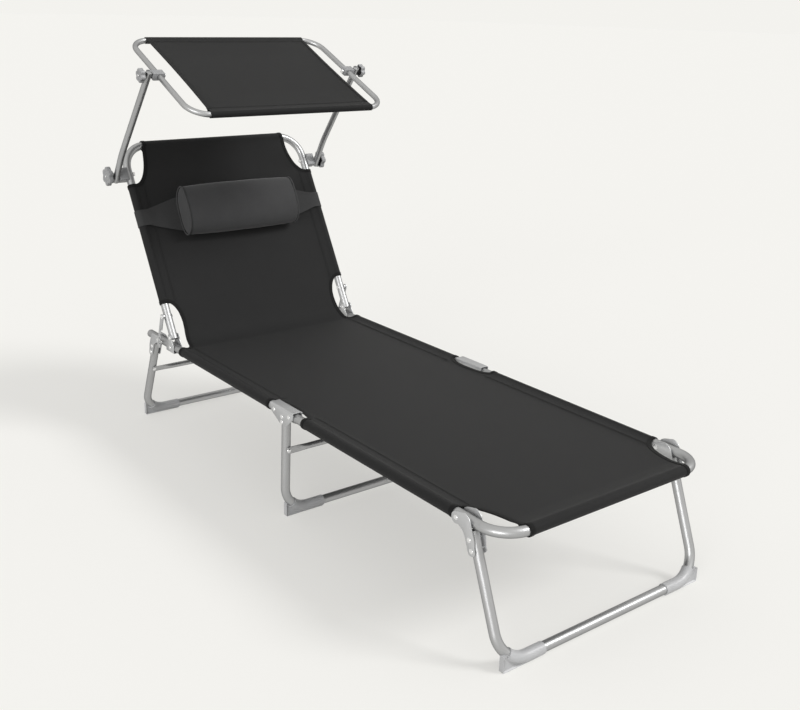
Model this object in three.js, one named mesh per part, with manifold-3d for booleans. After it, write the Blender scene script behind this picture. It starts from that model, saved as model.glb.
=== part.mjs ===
// A folding sun lounger with a tilting canopy: bent steel tube, stretched fabric and folding legs.
// Millimetres. X runs across the lounger, Y from the foot end to the head end, Z up from the floor.
// Each moving group is built lying flat about its own pivot, then turned to where it rests.
import * as THREE from "three";
import { mergeVertices } from "three/addons/utils/BufferGeometryUtils.js";
import Module from "manifold-3d";

const wasm = await Module();
wasm.setup();

// Tube, plate, fasteners and the room left between pieces.
const tubeRadius = 10.5;
const tubeWall = 1.2;
const boreDepth = 20;
const plateThickness = 1.8;
const rivetRadius = 3;
const rivetHeadRadius = 5.4;
const rivetHeadHeight = 1.5;
const clearance = 0.3;
const overrun = 5;

// Main frame, measured along Y from the axis of the foot bar and up from the floor.
const railHalf = 278;
const railHeight = 264.5;
const footLength = 689;
const hingePitch = 62.6;
const hingeEdge = 6;
const frameBendRadius = 62;

// Backrest: its pivot, its reach to the top bar and its angle to the seat.
const backrestPivotAlong = 536.4;
const backrestPivotRise = 26;
const backrestReach = 542;
const backrestEdge = 4;
const backrestBendRadius = 66;
const reclineAngle = THREE.MathUtils.degToRad(60.2);

// Strut and its stud.
const strutAlong = 59.9;
const strutLean = THREE.MathUtils.degToRad(18.9);
const strutWidth = 15;
const strutThickness = 3;
const strutStandOff = 4.6;
const strutTail = 16;
const notchRadius = 3.9;
const notchPitch = 13;
const notchOffset = 2;
const notchCount = 4;
const studRadius = 3.5;

// Hinge bracket that carries the backrest on each rail.
const saddleLength = 44;
const earRadius = 10.5;
const earTaper = 5;
const saddleTop = 6;

// Legs: axis set off from the pivot, tilt, bend and grey shoes.
const legBendRadius = 62;
const frontPivotAlong = 110.7;
const frontOffset = 25;
const frontTilt = THREE.MathUtils.degToRad(21.2);
const rearPivotBeyond = 76;
const railTail = 68;
const rearOffset = 25.5;
const rearTilt = THREE.MathUtils.degToRad(24);
const midOffset = 34.2;
const midTilt = THREE.MathUtils.degToRad(2.9);
const midTopRise = 11;
const legTopRoom = 1.5;
const legRivetDrops = [41.3, 62];
const midRivetDrops = [7.8, 20.5];
const shoeWall = 2;
const shoeTipInset = 103;
const heelInset = 1;
const heelWidth = 13;

// Leg brackets: rounded end at the pivot, a band down the leg and the room beside the rail.
const pivotEndRadius = 12;
const bandHalf = 14;
const bandEndRadius = 10.5;
const frontPlateRoom = 1.8;
const rearPlateRoom = 0.4;
const shoulderShares = [[0.25, 1], [1.2, 0.75], [1.56, -0.3], [1.56, -3.6], [1.35, -5.2]];

// Middle hinge cover.
const coverHead = 16.4;
const coverFoot = 19;
const coverRise = 13;
const coverDepth = 25.5;
const coverRoom = 0.5;

// Crossbars between the legs.
const crossbarRadius = 7;
const crossbarReachInset = 26;
const lugThickness = 3;
const lugHalfHeight = 9;
const lugReachOutset = 5;
const midCrossbarDrop = 90.5;
const rearCrossbarDrop = 118;

// Fabric. Each sleeve on a rail starts and ends a set way from the bar, hinge or pivot beside it.
const clothThickness = 1.5;
const sleeveRoom = 0.3;
const sleeveWall = 1.2;
const clothRise = 8;
const clothTuck = 6;
const footBarSleeveInset = 59;
const topBarSleeveInset = 58;
const footSleeveStart = 126;
const footSleeveGap = 49;
const seatSleeveGap = 28.4;
const seatSleeveEndGap = 52;
const backSleeveStart = 94;
const backSleeveDrop = 112;
const seamRoom = 0.4;
const foldInset = 28;
const foldTurn = 12;
const foldNeckInset = 36;
const foldNeckAlong = 30;
const midNeckInset = 21;
const footNeckInset = 52;
const topNeckInset = 54;
const biteSteps = 7;

// Pillow and the band that holds it.
const pillowHalf = 172;
const pillowDrop = 211;
const pillowHeight = 134;
const pillowDepth = 70;
const pillowLean = 0.34;
const pillowCrown = 12;
const pillowEndRound = 9;
const bandDrop = 208;
const bandWidth = 44;
const bandFlare = 96;
const bandThickness = 1.3;
const bandDipFromInset = 16;
const bandDipToInset = 40;

// Canopy arms, their bolts, blocks and star knobs.
const armRadius = 8.2;
const armDrop = 80;
const armLength = 353.5;
const armAngle = THREE.MathUtils.degToRad(68.9);
const armEnd = 11;
const armJog = 11;
const armJogFrom = 80;
const armFootStandOff = 40;
const armTopStandOff = 26.5;
const blockHeight = 34;
const blockDepth = 24;
const blockInnerOutset = 6;
const clampInnerInset = 13.5;
const clampHeight = 18;
const clampLength = 22;
const blockRoom = 0.9;
const boltRadius = 3;
const boltHeadRadius = 6;
const boltHeadHeight = 4.5;
const boltEnd = 2;
const lowerKnobRadius = 25.5;
const upperKnobRadius = 17.5;
const knobLobes = 6;
const lobeDepthShare = 0.2;
const knobTurn = THREE.MathUtils.degToRad(30);
const knobThickness = 12.5;
const bossRadius = 8;
const bossHeight = 4;

// Canopy frame and cloth.
const canopyAngle = THREE.MathUtils.degToRad(24.4);
const canopyTubeRadius = 7;
const canopyOutset = 3.5;
const canopyNear = 196;
const canopyFar = 181.8;
const canopyBendRadius = 54;
const canopyClothInset = 45.5;
const canopyClothRise = 5.6;
const canopyClothThickness = 1.4;
const canopySleeveWall = 1.2;

// Facets.
const tubeSides = 12;
const pinSides = 8;
const bendSteps = 6;
const roundSteps = 6;
const lobeSteps = 6;
const pillowRings = 16;
const pillowSides = 24;

// Places that follow from the sizes above.
const shoeTip = railHalf - shoeTipInset;
const heelHalf = railHalf - heelInset;
const crossbarReach = railHalf - crossbarReachInset;
const lugReach = railHalf + lugReachOutset;
const footBarSleeveHalf = railHalf - footBarSleeveInset;
const topBarSleeveHalf = railHalf - topBarSleeveInset;
const foldHalf = railHalf - foldInset;
const foldNeckHalf = railHalf - foldNeckInset;
const midNeckHalf = railHalf - midNeckInset;
const footNeckHalf = railHalf - footNeckInset;
const topNeckHalf = railHalf - topNeckInset;
const bandDipFrom = railHalf - bandDipFromInset;
const bandDipTo = railHalf - bandDipToInset;
const blockInnerHalf = railHalf + blockInnerOutset;
const canopyHalf = railHalf + canopyOutset;
const clampInnerHalf = canopyHalf - clampInnerInset;
const canopyClothHalf = canopyHalf - canopyClothInset;
const shoeRadius = tubeRadius + shoeWall;
const footHinge = footLength;
const seatHinge = footHinge + hingePitch;
const backrestPivot = seatHinge + backrestPivotAlong;
const backrestPivotHeight = railHeight + backrestPivotRise;
const rearPivot = backrestPivot + rearPivotBeyond;
const seatEnd = rearPivot + railTail;
const armAlong = backrestReach - armDrop;
const armFootHalf = railHalf + armFootStandOff;
const armTopHalf = canopyHalf + armTopStandOff;
const pillowAlong = backrestReach - pillowDrop;
const bandAlong = backrestReach - bandDrop;
const footSleeveEnd = footHinge - footSleeveGap;
const seatSleeveStart = seatHinge + seatSleeveGap;
const seatSleeveEnd = backrestPivot - seatSleeveEndGap;
const backSleeveEnd = backrestReach - backSleeveDrop;
const seamAlong = (footHinge + seatHinge) / 2;
const clothEdge = railHalf - clothTuck;
const sleeveBore = tubeRadius + sleeveRoom;
const sleeveRadius = sleeveBore + sleeveWall;
const holeRadius = rivetRadius + clearance;
const boltHoleRadius = boltRadius + clearance;

const acrossX = new THREE.Vector3(1, 0, 0);
const alongY = new THREE.Vector3(0, 1, 0);
const upZ = new THREE.Vector3(0, 0, 1);
const point = (x, y, z) => new THREE.Vector3(x, y, z);
const flat = (x, y) => new THREE.Vector2(x, y);

// Solids: joining and cutting closed meshes.

function toSolid(geometry) {
  const bare = geometry.clone();
  bare.deleteAttribute("normal");
  bare.deleteAttribute("uv");
  const merged = mergeVertices(bare, 1e-4);
  return new wasm.Manifold(
    new wasm.Mesh({
      numProp: 3,
      vertProperties: new Float32Array(merged.attributes.position.array),
      triVerts: new Uint32Array(merged.index.array),
    }),
  );
}

function toGeometry(solid) {
  const mesh = solid.getMesh();
  const geometry = new THREE.BufferGeometry();
  geometry.setAttribute("position", new THREE.BufferAttribute(mesh.vertProperties, mesh.numProp));
  geometry.setIndex(new THREE.BufferAttribute(mesh.triVerts, 1));
  geometry.computeVertexNormals();
  return geometry;
}

function join(geometries) {
  return toGeometry(geometries.map(toSolid).reduce((sum, next) => sum.add(next)));
}

function cut(geometry, tools) {
  return toGeometry(tools.map(toSolid).reduce((rest, tool) => rest.subtract(tool), toSolid(geometry)));
}

// Mirrors a right-hand piece across the middle plane and turns its faces out again.
function handed(geometry, side) {
  if (side > 0) return geometry;
  const mirrored = geometry.index ? geometry.toNonIndexed() : geometry.clone();
  const spots = mirrored.attributes.position;
  for (let i = 0; i < spots.count; i += 3) {
    const corners = [0, 1, 2].map((k) => point(-spots.getX(i + k), spots.getY(i + k), spots.getZ(i + k)));
    [corners[0], corners[2], corners[1]].forEach((p, k) => spots.setXYZ(i + k, p.x, p.y, p.z));
  }
  mirrored.computeVertexNormals();
  return mirrored;
}

// Shapes.

function ring(radius, sides) {
  return Array.from({ length: sides }, (unused, i) => {
    const angle = (i / sides) * 2 * Math.PI;
    return flat(radius * Math.cos(angle), radius * Math.sin(angle));
  });
}

function arc(centre, radius, from, to, steps = roundSteps) {
  return Array.from({ length: steps + 1 }, (unused, i) => {
    const angle = from + ((to - from) * i) / steps;
    return flat(centre.x + radius * Math.cos(angle), centre.y + radius * Math.sin(angle));
  });
}

function box(x0, x1, y0, y1, z0, z1) {
  const geometry = new THREE.BoxGeometry(x1 - x0, y1 - y0, z1 - z0);
  return geometry.translate((x0 + x1) / 2, (y0 + y1) / 2, (z0 + z1) / 2);
}

// A round bar across the lounger, from x0 to x1 at one place in the YZ plane.
function pin(x0, x1, y, z, radius, sides = pinSides) {
  const geometry = new THREE.CylinderGeometry(radius, radius, x1 - x0, sides);
  return geometry.rotateZ(-Math.PI / 2).translate((x0 + x1) / 2, y, z);
}

// An outline in the YZ plane, drawn out across X.
function slab(outline, x0, x1) {
  const shape = new THREE.Shape(outline);
  const geometry = new THREE.ExtrudeGeometry(shape, { depth: x1 - x0, bevelEnabled: false });
  const turn = new THREE.Matrix4().makeBasis(alongY, upZ, acrossX);
  return geometry.applyMatrix4(turn).translate(x0, 0, 0);
}

// An outline in the XY plane, drawn up along Z.
function sheet(outline, z0, thickness) {
  const shape = new THREE.Shape(outline);
  return new THREE.ExtrudeGeometry(shape, { depth: thickness, bevelEnabled: false }).translate(0, 0, z0);
}

// An outline in the XZ plane, drawn along Y from y0 to y1.
function drawnAlong(outline, y0, y1) {
  const shape = new THREE.Shape(outline);
  const geometry = new THREE.ExtrudeGeometry(shape, { depth: y1 - y0, bevelEnabled: false });
  return geometry.rotateX(Math.PI / 2).translate(0, y1, 0);
}

// A path swept exactly through its stations; square stands square to the plane that the path lies in.
class Route extends THREE.Curve {
  constructor(stations, square) {
    super();
    this.stations = stations;
    this.square = square;
  }

  getSpacedPoints() {
    return this.stations;
  }

  computeFrenetFrames() {
    const step = (from, to) => this.stations[to].clone().sub(this.stations[from]).normalize();
    const last = this.stations.length - 1;
    const tangents = this.stations.map((station, i) => {
      const before = step(Math.max(i - 1, 0), Math.max(i, 1));
      const after = step(Math.min(i, last - 1), Math.min(i + 1, last));
      return before.add(after).normalize();
    });
    const normals = tangents.map(() => this.square);
    const binormals = tangents.map((tangent) => new THREE.Vector3().crossVectors(tangent, this.square));
    return { tangents, normals, binormals };
  }
}

function sweep(stations, radius, square, sides = tubeSides) {
  return new THREE.ExtrudeGeometry(new THREE.Shape(ring(radius, sides)), {
    steps: stations.length - 1,
    extrudePath: new Route(stations, square),
  });
}

// A line of corners with each inner corner rounded, in bendSteps chords.
function bent(corners, radius) {
  const stations = [corners[0]];
  for (let i = 1; i < corners.length - 1; i++) {
    const back = corners[i - 1].clone().sub(corners[i]).normalize();
    const on = corners[i + 1].clone().sub(corners[i]).normalize();
    const half = back.angleTo(on) / 2;
    const middle = back.clone().add(on).setLength(radius / Math.sin(half)).add(corners[i]);
    const start = back.clone().multiplyScalar(radius / Math.tan(half)).add(corners[i]).sub(middle);
    const end = on.clone().multiplyScalar(radius / Math.tan(half)).add(corners[i]).sub(middle);
    const turn = start.angleTo(end);
    for (let k = 0; k <= bendSteps; k++) {
      const first = Math.sin(turn * (1 - k / bendSteps)) / Math.sin(turn);
      const second = Math.sin((turn * k) / bendSteps) / Math.sin(turn);
      stations.push(start.clone().multiplyScalar(first).addScaledVector(end, second).add(middle));
    }
  }
  stations.push(corners[corners.length - 1]);
  return stations;
}

// Scene graph.

const looks = {
  steel: { color: 0xc9cacb, roughness: 0.34, metalness: 0.85 },
  plate: { color: 0xd0d1d2, roughness: 0.42, metalness: 0.8 },
  fastener: { color: 0xb9babb, roughness: 0.3, metalness: 0.9 },
  plastic: { color: 0x8e8f90, roughness: 0.55, metalness: 0 },
  knob: { color: 0x7d7e80, roughness: 0.5, metalness: 0 },
  fabric: { color: 0x2f2f30, roughness: 0.9, metalness: 0 },
  pillow: { color: 0x404142, roughness: 0.92, metalness: 0 },
};

function add(group, name, geometry, look) {
  const mesh = new THREE.Mesh(geometry, new THREE.MeshStandardMaterial(looks[look]));
  mesh.name = name;
  group.add(mesh);
  return mesh;
}

function pair(build) {
  build(-1, "left");
  build(1, "right");
}

function pivoted(parent, name, y, z, angle) {
  const group = new THREE.Group();
  group.name = name;
  group.position.set(0, y, z);
  group.rotation.x = angle;
  parent.add(group);
  return group;
}

// A pin with a low head at each end, from the inner face x0 to the outer face x1 of what it holds.
function headedPin(x0, x1, y, z, radius = rivetRadius, headRadius = rivetHeadRadius) {
  return join([
    pin(x0 - rivetHeadHeight, x0, y, z, headRadius),
    pin(x0 - rivetHeadHeight / 2, x1 + rivetHeadHeight / 2, y, z, radius),
    pin(x1, x1 + rivetHeadHeight, y, z, headRadius),
  ]);
}

// Seat.

function rail() {
  const stations = [point(0, seatHinge - hingeEdge, railHeight), point(0, seatEnd, railHeight)];
  const reach = tubeRadius + overrun;
  const bore = [point(0, seatEnd - boreDepth, railHeight), point(0, seatEnd + overrun, railHeight)];
  return cut(sweep(stations, tubeRadius, upZ), [
    pin(-reach, reach, seatHinge, railHeight, holeRadius),
    pin(-reach, reach, backrestPivot, railHeight, holeRadius),
    pin(-reach, reach, studPlace().y, railHeight, holeRadius),
    pin(-reach, reach, rearPivot, railHeight, holeRadius),
    sweep(bore, tubeRadius - tubeWall, upZ),
  ]);
}

// A domed plug whose stem sits in the end of the rail.
function railPlug() {
  const stem = tubeRadius - tubeWall - clearance;
  const dome = tubeRadius * 0.6;
  const profile = [
    flat(0, -boreDepth * 0.8),
    flat(stem * 0.9, -boreDepth * 0.8),
    flat(stem, -boreDepth * 0.7),
    flat(stem, clearance),
    flat(tubeRadius, clearance),
  ];
  for (let i = 1; i < roundSteps; i++) {
    const angle = ((i / roundSteps) * Math.PI) / 2;
    profile.push(flat(tubeRadius * Math.cos(angle), clearance + dome * Math.sin(angle)));
  }
  profile.push(flat(0, clearance + dome));
  return new THREE.LatheGeometry(profile, tubeSides).translate(0, seatEnd, 0);
}

// A saddle under the rail with two ears that carry the backrest pin; one rivet holds it to the rail.
function hingeBracket() {
  const inner = tubeRadius + clearance;
  const outer = inner + plateThickness;
  const half = saddleLength / 2;
  const ear = flat(backrestPivot, backrestPivotHeight);
  const outline = [
    flat(backrestPivot - half, railHeight - outer),
    flat(backrestPivot + half, railHeight - outer),
    flat(backrestPivot + half, railHeight + saddleTop),
    ...arc(ear, earRadius, -earTaper / earRadius, Math.PI + earTaper / earRadius),
    flat(backrestPivot - half, railHeight + saddleTop),
  ];
  const [from, to] = [backrestPivot - half, backrestPivot + half];
  const web = box(-outer, outer, from, to, railHeight - outer, railHeight - inner);
  const plates = [slab(outline, inner, outer), slab(outline, -outer, -inner)];
  const body = join([...plates, web, headedPin(-outer, outer, backrestPivot, railHeight)]);
  const hole = pin(-outer - overrun, outer + overrun, backrestPivot, backrestPivotHeight, holeRadius);
  return cut(body, [hole]);
}

// Where the stud that the strut rests on stands: below the strut's pin, in line with its last notch.
function studPlace() {
  const topY = backrestPivot + strutAlong * Math.cos(reclineAngle);
  const topZ = backrestPivotHeight + strutAlong * Math.sin(reclineAngle);
  const drop = (topZ - railHeight - notchOffset * Math.sin(strutLean)) / Math.cos(strutLean);
  const y = topY - notchOffset * Math.cos(strutLean) + drop * Math.sin(strutLean);
  return { y, drop };
}

function latchStud() {
  const { y } = studPlace();
  const outer = tubeRadius + strutStandOff - 2 * clearance;
  return join([
    pin(-tubeRadius - clearance - rivetHeadHeight, -tubeRadius - clearance, y, railHeight, rivetHeadRadius),
    pin(-tubeRadius - clearance - rivetHeadHeight / 2, outer, y, railHeight, rivetRadius),
    pin(tubeRadius + clearance, outer, y, railHeight, studRadius),
  ]);
}

// A quarter of a cut-out: from neckHalf at one place along Y out to the cloth's edge at another.
function cutOut(neckHalf, from, to) {
  return Array.from({ length: biteSteps + 1 }, (unused, i) => {
    const angle = ((i / biteSteps) * Math.PI) / 2;
    const across = neckHalf + (clothEdge - neckHalf) * (1 - Math.cos(angle));
    return flat(across, from + (to - from) * Math.sin(angle));
  });
}

// The whole outline from its right-hand half, which runs upward along Y.
function mirroredOutline(half) {
  return [...half, ...half.map((p) => flat(-p.x, p.y)).reverse()];
}

function sleeve(stations, square) {
  return sweep(stations, sleeveRadius, square);
}

// Cloth joined to its sleeves, with a bore cut through them for each tube they run on.
function clothOn(outline, rise, sleeves, bores) {
  return cut(join([sheet(outline, rise - clothThickness / 2, clothThickness), ...sleeves]), bores);
}

function railSleeves(from, to, z) {
  const ends = (side) => [point(side * railHalf, from, z), point(side * railHalf, to, z)];
  return [-1, 1].map((side) => sleeve(ends(side), upZ));
}

function railBores(from, to, z) {
  const ends = (side) => [point(side * railHalf, from - overrun, z), point(side * railHalf, to + overrun, z)];
  return [-1, 1].map((side) => sweep(ends(side), sleeveBore, upZ));
}

// Where the backrest's cloth, produced below its pivot, meets the seat's cloth.
function foldPlace() {
  const drop = backrestPivotRise - clothRise + clothRise * Math.cos(reclineAngle);
  const below = drop / Math.sin(reclineAngle);
  return { below, y: backrestPivot - clothRise * Math.sin(reclineAngle) - below * Math.cos(reclineAngle) };
}

function seatFabric() {
  const fold = foldPlace().y - seamRoom - clothThickness;
  const half = [
    flat(midNeckHalf, seamAlong + seamRoom / 2),
    ...cutOut(midNeckHalf, seamAlong + seamRoom, seatSleeveStart),
    ...cutOut(foldHalf, fold - foldTurn, seatSleeveEnd).reverse(),
    flat(foldHalf, fold),
  ];
  return clothOn(
    mirroredOutline(half),
    railHeight + clothRise,
    railSleeves(seatSleeveStart, seatSleeveEnd, railHeight),
    railBores(seatSleeveStart, seatSleeveEnd, railHeight),
  );
}

// Backrest, lying along +Y from its pivot, with its front facing +Z.

function backrestStations() {
  const corners = [
    point(-railHalf, -backrestEdge, 0),
    point(-railHalf, backrestReach, 0),
    point(railHalf, backrestReach, 0),
    point(railHalf, -backrestEdge, 0),
  ];
  return bent(corners, backrestBendRadius);
}

function backrestFrame() {
  const reach = railHalf + tubeRadius + overrun;
  const holes = [0, strutAlong, armAlong].map((y) => pin(-reach, reach, y, 0, holeRadius));
  const bores = [-1, 1].map((side) => {
    const ends = [point(side * railHalf, -backrestEdge - overrun, 0), point(side * railHalf, boreDepth, 0)];
    return sweep(ends, tubeRadius - tubeWall, upZ);
  });
  return cut(sweep(backrestStations(), tubeRadius, upZ), [...holes, ...bores]);
}

function backrestFabric() {
  const bottom = -foldPlace().below + seamRoom + clothThickness;
  const half = [
    flat(foldHalf, bottom),
    flat(foldNeckHalf + (foldHalf - foldNeckHalf) * 0.25, (bottom + foldNeckAlong) / 2),
    ...cutOut(foldNeckHalf, foldNeckAlong, backSleeveStart),
    ...cutOut(topNeckHalf, backrestReach - clothTuck, backSleeveEnd).reverse(),
  ];
  const bar = [point(-topBarSleeveHalf, backrestReach, 0), point(topBarSleeveHalf, backrestReach, 0)];
  return clothOn(
    mirroredOutline(half),
    clothRise,
    [...railSleeves(backSleeveStart, backSleeveEnd, 0), sleeve(bar, upZ)],
    [...railBores(backSleeveStart, backSleeveEnd, 0), sweep(backrestStations(), sleeveBore, upZ)],
  );
}

// One point of the pillow's section: a full oval whose front leans towards the top bar.
function pillowSection(angle, grow) {
  const along = Math.sign(Math.cos(angle)) * Math.abs(Math.cos(angle)) ** 0.8;
  const out = Math.sign(Math.sin(angle)) * Math.abs(Math.sin(angle)) ** 0.8;
  const front = (out * pillowDepth * grow) / 2;
  return flat((along * pillowHeight * grow) / 2 + front * pillowLean, front);
}

// A stuffed roll with a crown along its length and rounded, drawn-in ends.
function pillow() {
  const rings = [];
  for (let i = 0; i <= pillowRings; i++) {
    const share = (2 * i) / pillowRings - 1;
    const x = pillowHalf * Math.sin((share * Math.PI) / 2);
    const near = Math.min((pillowHalf - Math.abs(x)) / pillowEndRound, 1);
    const round = 1 - (pillowCrown / pillowHeight) * (1 - Math.sqrt(1 - (1 - near) ** 2));
    const crown = 1 - (pillowCrown / pillowHeight) * (x / pillowHalf) ** 2;
    rings.push({ x, grow: round * crown });
  }
  const spots = [];
  for (const { x, grow } of rings)
    for (let k = 0; k < pillowSides; k++) {
      const p = pillowSection((k / pillowSides) * 2 * Math.PI, grow);
      spots.push(x, p.x, p.y);
    }
  const faces = [];
  for (let i = 0; i < pillowRings; i++)
    for (let k = 0; k < pillowSides; k++) {
      const next = (k + 1) % pillowSides;
      const [a, b] = [i * pillowSides + k, i * pillowSides + next];
      const [c, d] = [a + pillowSides, b + pillowSides];
      faces.push(a, b, c, b, d, c);
    }
  for (let k = 1; k < pillowSides - 1; k++) {
    faces.push(0, k + 1, k);
    const end = pillowRings * pillowSides;
    faces.push(end, end + k, end + k + 1);
  }
  const geometry = new THREE.BufferGeometry();
  geometry.setAttribute("position", new THREE.Float32BufferAttribute(spots, 3));
  geometry.setIndex(faces);
  geometry.computeVertexNormals();
  const back = clothRise + clothThickness / 2 + bandThickness + 2 * clearance;
  return geometry.translate(0, pillowAlong, back + pillowDepth / 2);
}

// The band: a closed loop round the backrest, wide behind the pillow and narrow at the tubes.
function pillowStrap() {
  const inner = sleeveRadius + clearance;
  const outer = inner + bandThickness;
  const low = clothRise + clothThickness / 2 + clearance;
  const side = (radius, front) => [
    flat(bandDipTo, front),
    flat(bandDipFrom, radius),
    ...arc(flat(railHalf, 0), radius, Math.PI / 2, -Math.PI / 2, roundSteps * 2),
  ];
  const half = bandFlare / 2;
  const from = bandAlong - half - overrun;
  const outside = mirroredOutline(side(outer, low + bandThickness));
  const loop = drawnAlong(outside, bandAlong - half, bandAlong + half);
  const hollow = drawnAlong(mirroredOutline(side(inner, low)), from, from + bandFlare + 2 * overrun);
  return cut(loop, [hollow, bandTaper(1), bandTaper(-1)]);
}

// What is taken off one long edge of the band, so that it narrows from the pillow to the tubes.
function bandTaper(side) {
  const reach = railHalf + sleeveRadius + overrun;
  const at = (x, y) => flat(x, bandAlong + side * y);
  const half = [at(reach, bandFlare / 2 + overrun), at(reach, bandWidth / 2), at(bandDipFrom, bandWidth / 2)];
  half.push(at(pillowHalf, bandFlare / 2), at(pillowHalf, bandFlare / 2 + overrun));
  const right = sheet(half, -reach, 2 * reach);
  return join([right, handed(right, -1)]);
}

// A block that hugs the backrest tube and stands the arm off from it.
function clampBlock() {
  const outerHalf = armFootHalf - armRadius - blockRoom;
  const hug = [point(railHalf, armAlong - blockHeight, 0), point(railHalf, armAlong + blockHeight, 0)];
  const [low, high] = [armAlong - blockHeight / 2, armAlong + blockHeight / 2];
  const solid = box(blockInnerHalf, outerHalf, low, high, -blockDepth / 2, blockDepth / 2);
  const hole = pin(blockInnerHalf - overrun, outerHalf + overrun, armAlong, 0, boltHoleRadius);
  return cut(solid, [sweep(hug, tubeRadius + clearance, upZ), hole]);
}

// A hex-headed bolt from inside the tube, out through the arm and the knob.
function bolt(headFace, end, y) {
  return join([
    pin(headFace - boltHeadHeight, headFace, y, 0, boltHeadRadius, 6),
    pin(headFace - boltHeadHeight / 2, end, y, 0, boltRadius),
  ]);
}

function strutBolt() {
  const spacerEnd = tubeRadius + strutStandOff - clearance;
  const spacer = pin(tubeRadius + clearance, spacerEnd, strutAlong, 0, rivetHeadRadius);
  const strutFace = tubeRadius + strutStandOff + strutThickness + clearance;
  return join([headedPin(-tubeRadius - clearance, strutFace, strutAlong, 0), spacer]);
}

// A flat bar hanging from its pin along -Z, with notches open towards the foot end.
function strut() {
  const { drop } = studPlace();
  const half = strutWidth / 2;
  const outline = [
    ...arc(flat(0, 0), half, 0, Math.PI, roundSteps * 2),
    flat(-half, -drop - strutTail + half / 2),
    flat(-half / 2, -drop - strutTail),
    flat(half / 2, -drop - strutTail),
    flat(half, -drop - strutTail + half / 2),
  ];
  const x0 = tubeRadius + strutStandOff;
  const x1 = x0 + strutThickness;
  const tools = [pin(x0 - overrun, x1 + overrun, 0, 0, holeRadius)];
  const [from, to] = [x0 - overrun, x1 + overrun];
  for (let i = 0; i < notchCount; i++) {
    const z = -drop + i * notchPitch;
    tools.push(pin(from, to, -notchOffset, z, notchRadius));
    tools.push(box(from, to, -half - overrun, -notchOffset, z - notchRadius / 2, z + notchRadius));
  }
  return cut(slab(outline, x0, x1), tools);
}

// Canopy arms run along +Y from the lower bolt to the upper one, leaning in towards the top.
// Each is bent clear of its lower bolt near the foot, and a solid end piece there takes the bolt.
function arm() {
  const lean = (armTopHalf - armFootHalf) / armLength;
  const at = (y) => point(armFootHalf + lean * y, y, 0);
  const foot = point(armFootHalf, -armEnd, armJog);
  const reach = armFootHalf + armRadius + overrun;
  const from = armTopHalf - armRadius - overrun;
  const tube = sweep([foot, at(armJogFrom), at(armLength + armEnd)], armRadius, upZ);
  const end = [flat(armRadius, armJog), ...arc(flat(0, 0), armRadius, 0, -Math.PI), flat(-armRadius, armJog)];
  const bore = [at(armLength + boltHeadRadius), at(armLength + armEnd + overrun)];
  return cut(join([tube, slab(end, armFootHalf - armRadius * 0.8, armFootHalf + armRadius * 0.8)]), [
    pin(from, reach, 0, 0, boltHoleRadius),
    pin(from, reach, armLength, 0, boltHoleRadius),
    sweep(bore, armRadius - tubeWall, upZ),
  ]);
}

// A star knob with a boss on its inner side, bored through; x0 is the face it clamps against.
function knob(x0, knobRadius) {
  const steps = knobLobes * lobeSteps;
  const outline = Array.from({ length: steps }, (unused, i) => {
    const angle = (i / steps) * 2 * Math.PI;
    const radius = knobRadius * (1 - (lobeDepthShare * (1 - Math.cos(knobLobes * angle))) / 2);
    return flat(radius * Math.cos(angle), radius * Math.sin(angle));
  });
  const star = slab(outline, x0 + bossHeight, x0 + bossHeight + knobThickness);
  const boss = pin(x0, x0 + bossHeight + clearance, 0, 0, bossRadius);
  return cut(join([star, boss]), [
    pin(x0 - overrun, x0 + bossHeight + knobThickness + overrun, 0, 0, boltHoleRadius),
  ]);
}

// Canopy, lying along Y with its pivot at the origin and its far bar towards +Y.

function canopyStations() {
  const gap = clearance / 2;
  const corners = [
    point(gap, canopyFar, 0),
    point(canopyHalf, canopyFar, 0),
    point(canopyHalf, -canopyNear, 0),
    point(-canopyHalf, -canopyNear, 0),
    point(-canopyHalf, canopyFar, 0),
    point(-gap, canopyFar, 0),
  ];
  return bent(corners, canopyBendRadius);
}

function canopyFrame() {
  const reach = canopyHalf + canopyTubeRadius + overrun;
  return cut(sweep(canopyStations(), canopyTubeRadius, upZ), [pin(-reach, reach, 0, 0, boltHoleRadius)]);
}

function canopyFabric() {
  const bore = canopyTubeRadius + sleeveRoom;
  const ends = (y, half) => [point(-half, y, 0), point(half, y, 0)];
  const bars = [canopyFar, -canopyNear];
  const half = canopyClothHalf;
  const edge = canopyTubeRadius * 0.6;
  const outline = mirroredOutline([flat(half, -canopyNear + edge), flat(half, canopyFar - edge)]);
  const cloth = sheet(outline, canopyClothRise - canopyClothThickness / 2, canopyClothThickness);
  const sleeves = bars.map((y) => sweep(ends(y, half), bore + canopySleeveWall, upZ));
  return cut(join([cloth, ...sleeves]), [sweep(canopyStations(), bore, upZ)]);
}

// A block round the canopy's side tube, bolted through to the arm.
function canopyClamp() {
  const outerHalf = armTopHalf - armRadius - blockRoom;
  const length = clampLength / 2;
  const height = clampHeight / 2;
  const solid = box(clampInnerHalf, outerHalf, -length, length, -height, height);
  const tube = [point(canopyHalf, -length - overrun, 0), point(canopyHalf, length + overrun, 0)];
  const hole = pin(clampInnerHalf - overrun, outerHalf + overrun, 0, 0, boltHoleRadius);
  return cut(solid, [sweep(tube, canopyTubeRadius + clearance, upZ), hole]);
}

// Legs hang along -Z from their pivot; their plane lies offset from it along Y.

function legStations(offset, top, length) {
  const corners = [
    point(-railHalf, offset, top),
    point(-railHalf, offset, -length),
    point(railHalf, offset, -length),
    point(railHalf, offset, top),
  ];
  return bent(corners, legBendRadius);
}

// How far down the leg its tube starts, so that it stays under the rail.
function legTopDrop(offset, tilt) {
  const rise = (Math.abs(offset) + tubeRadius) * Math.sin(Math.abs(tilt));
  return (rise + tubeRadius + legTopRoom) / Math.cos(tilt);
}

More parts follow.
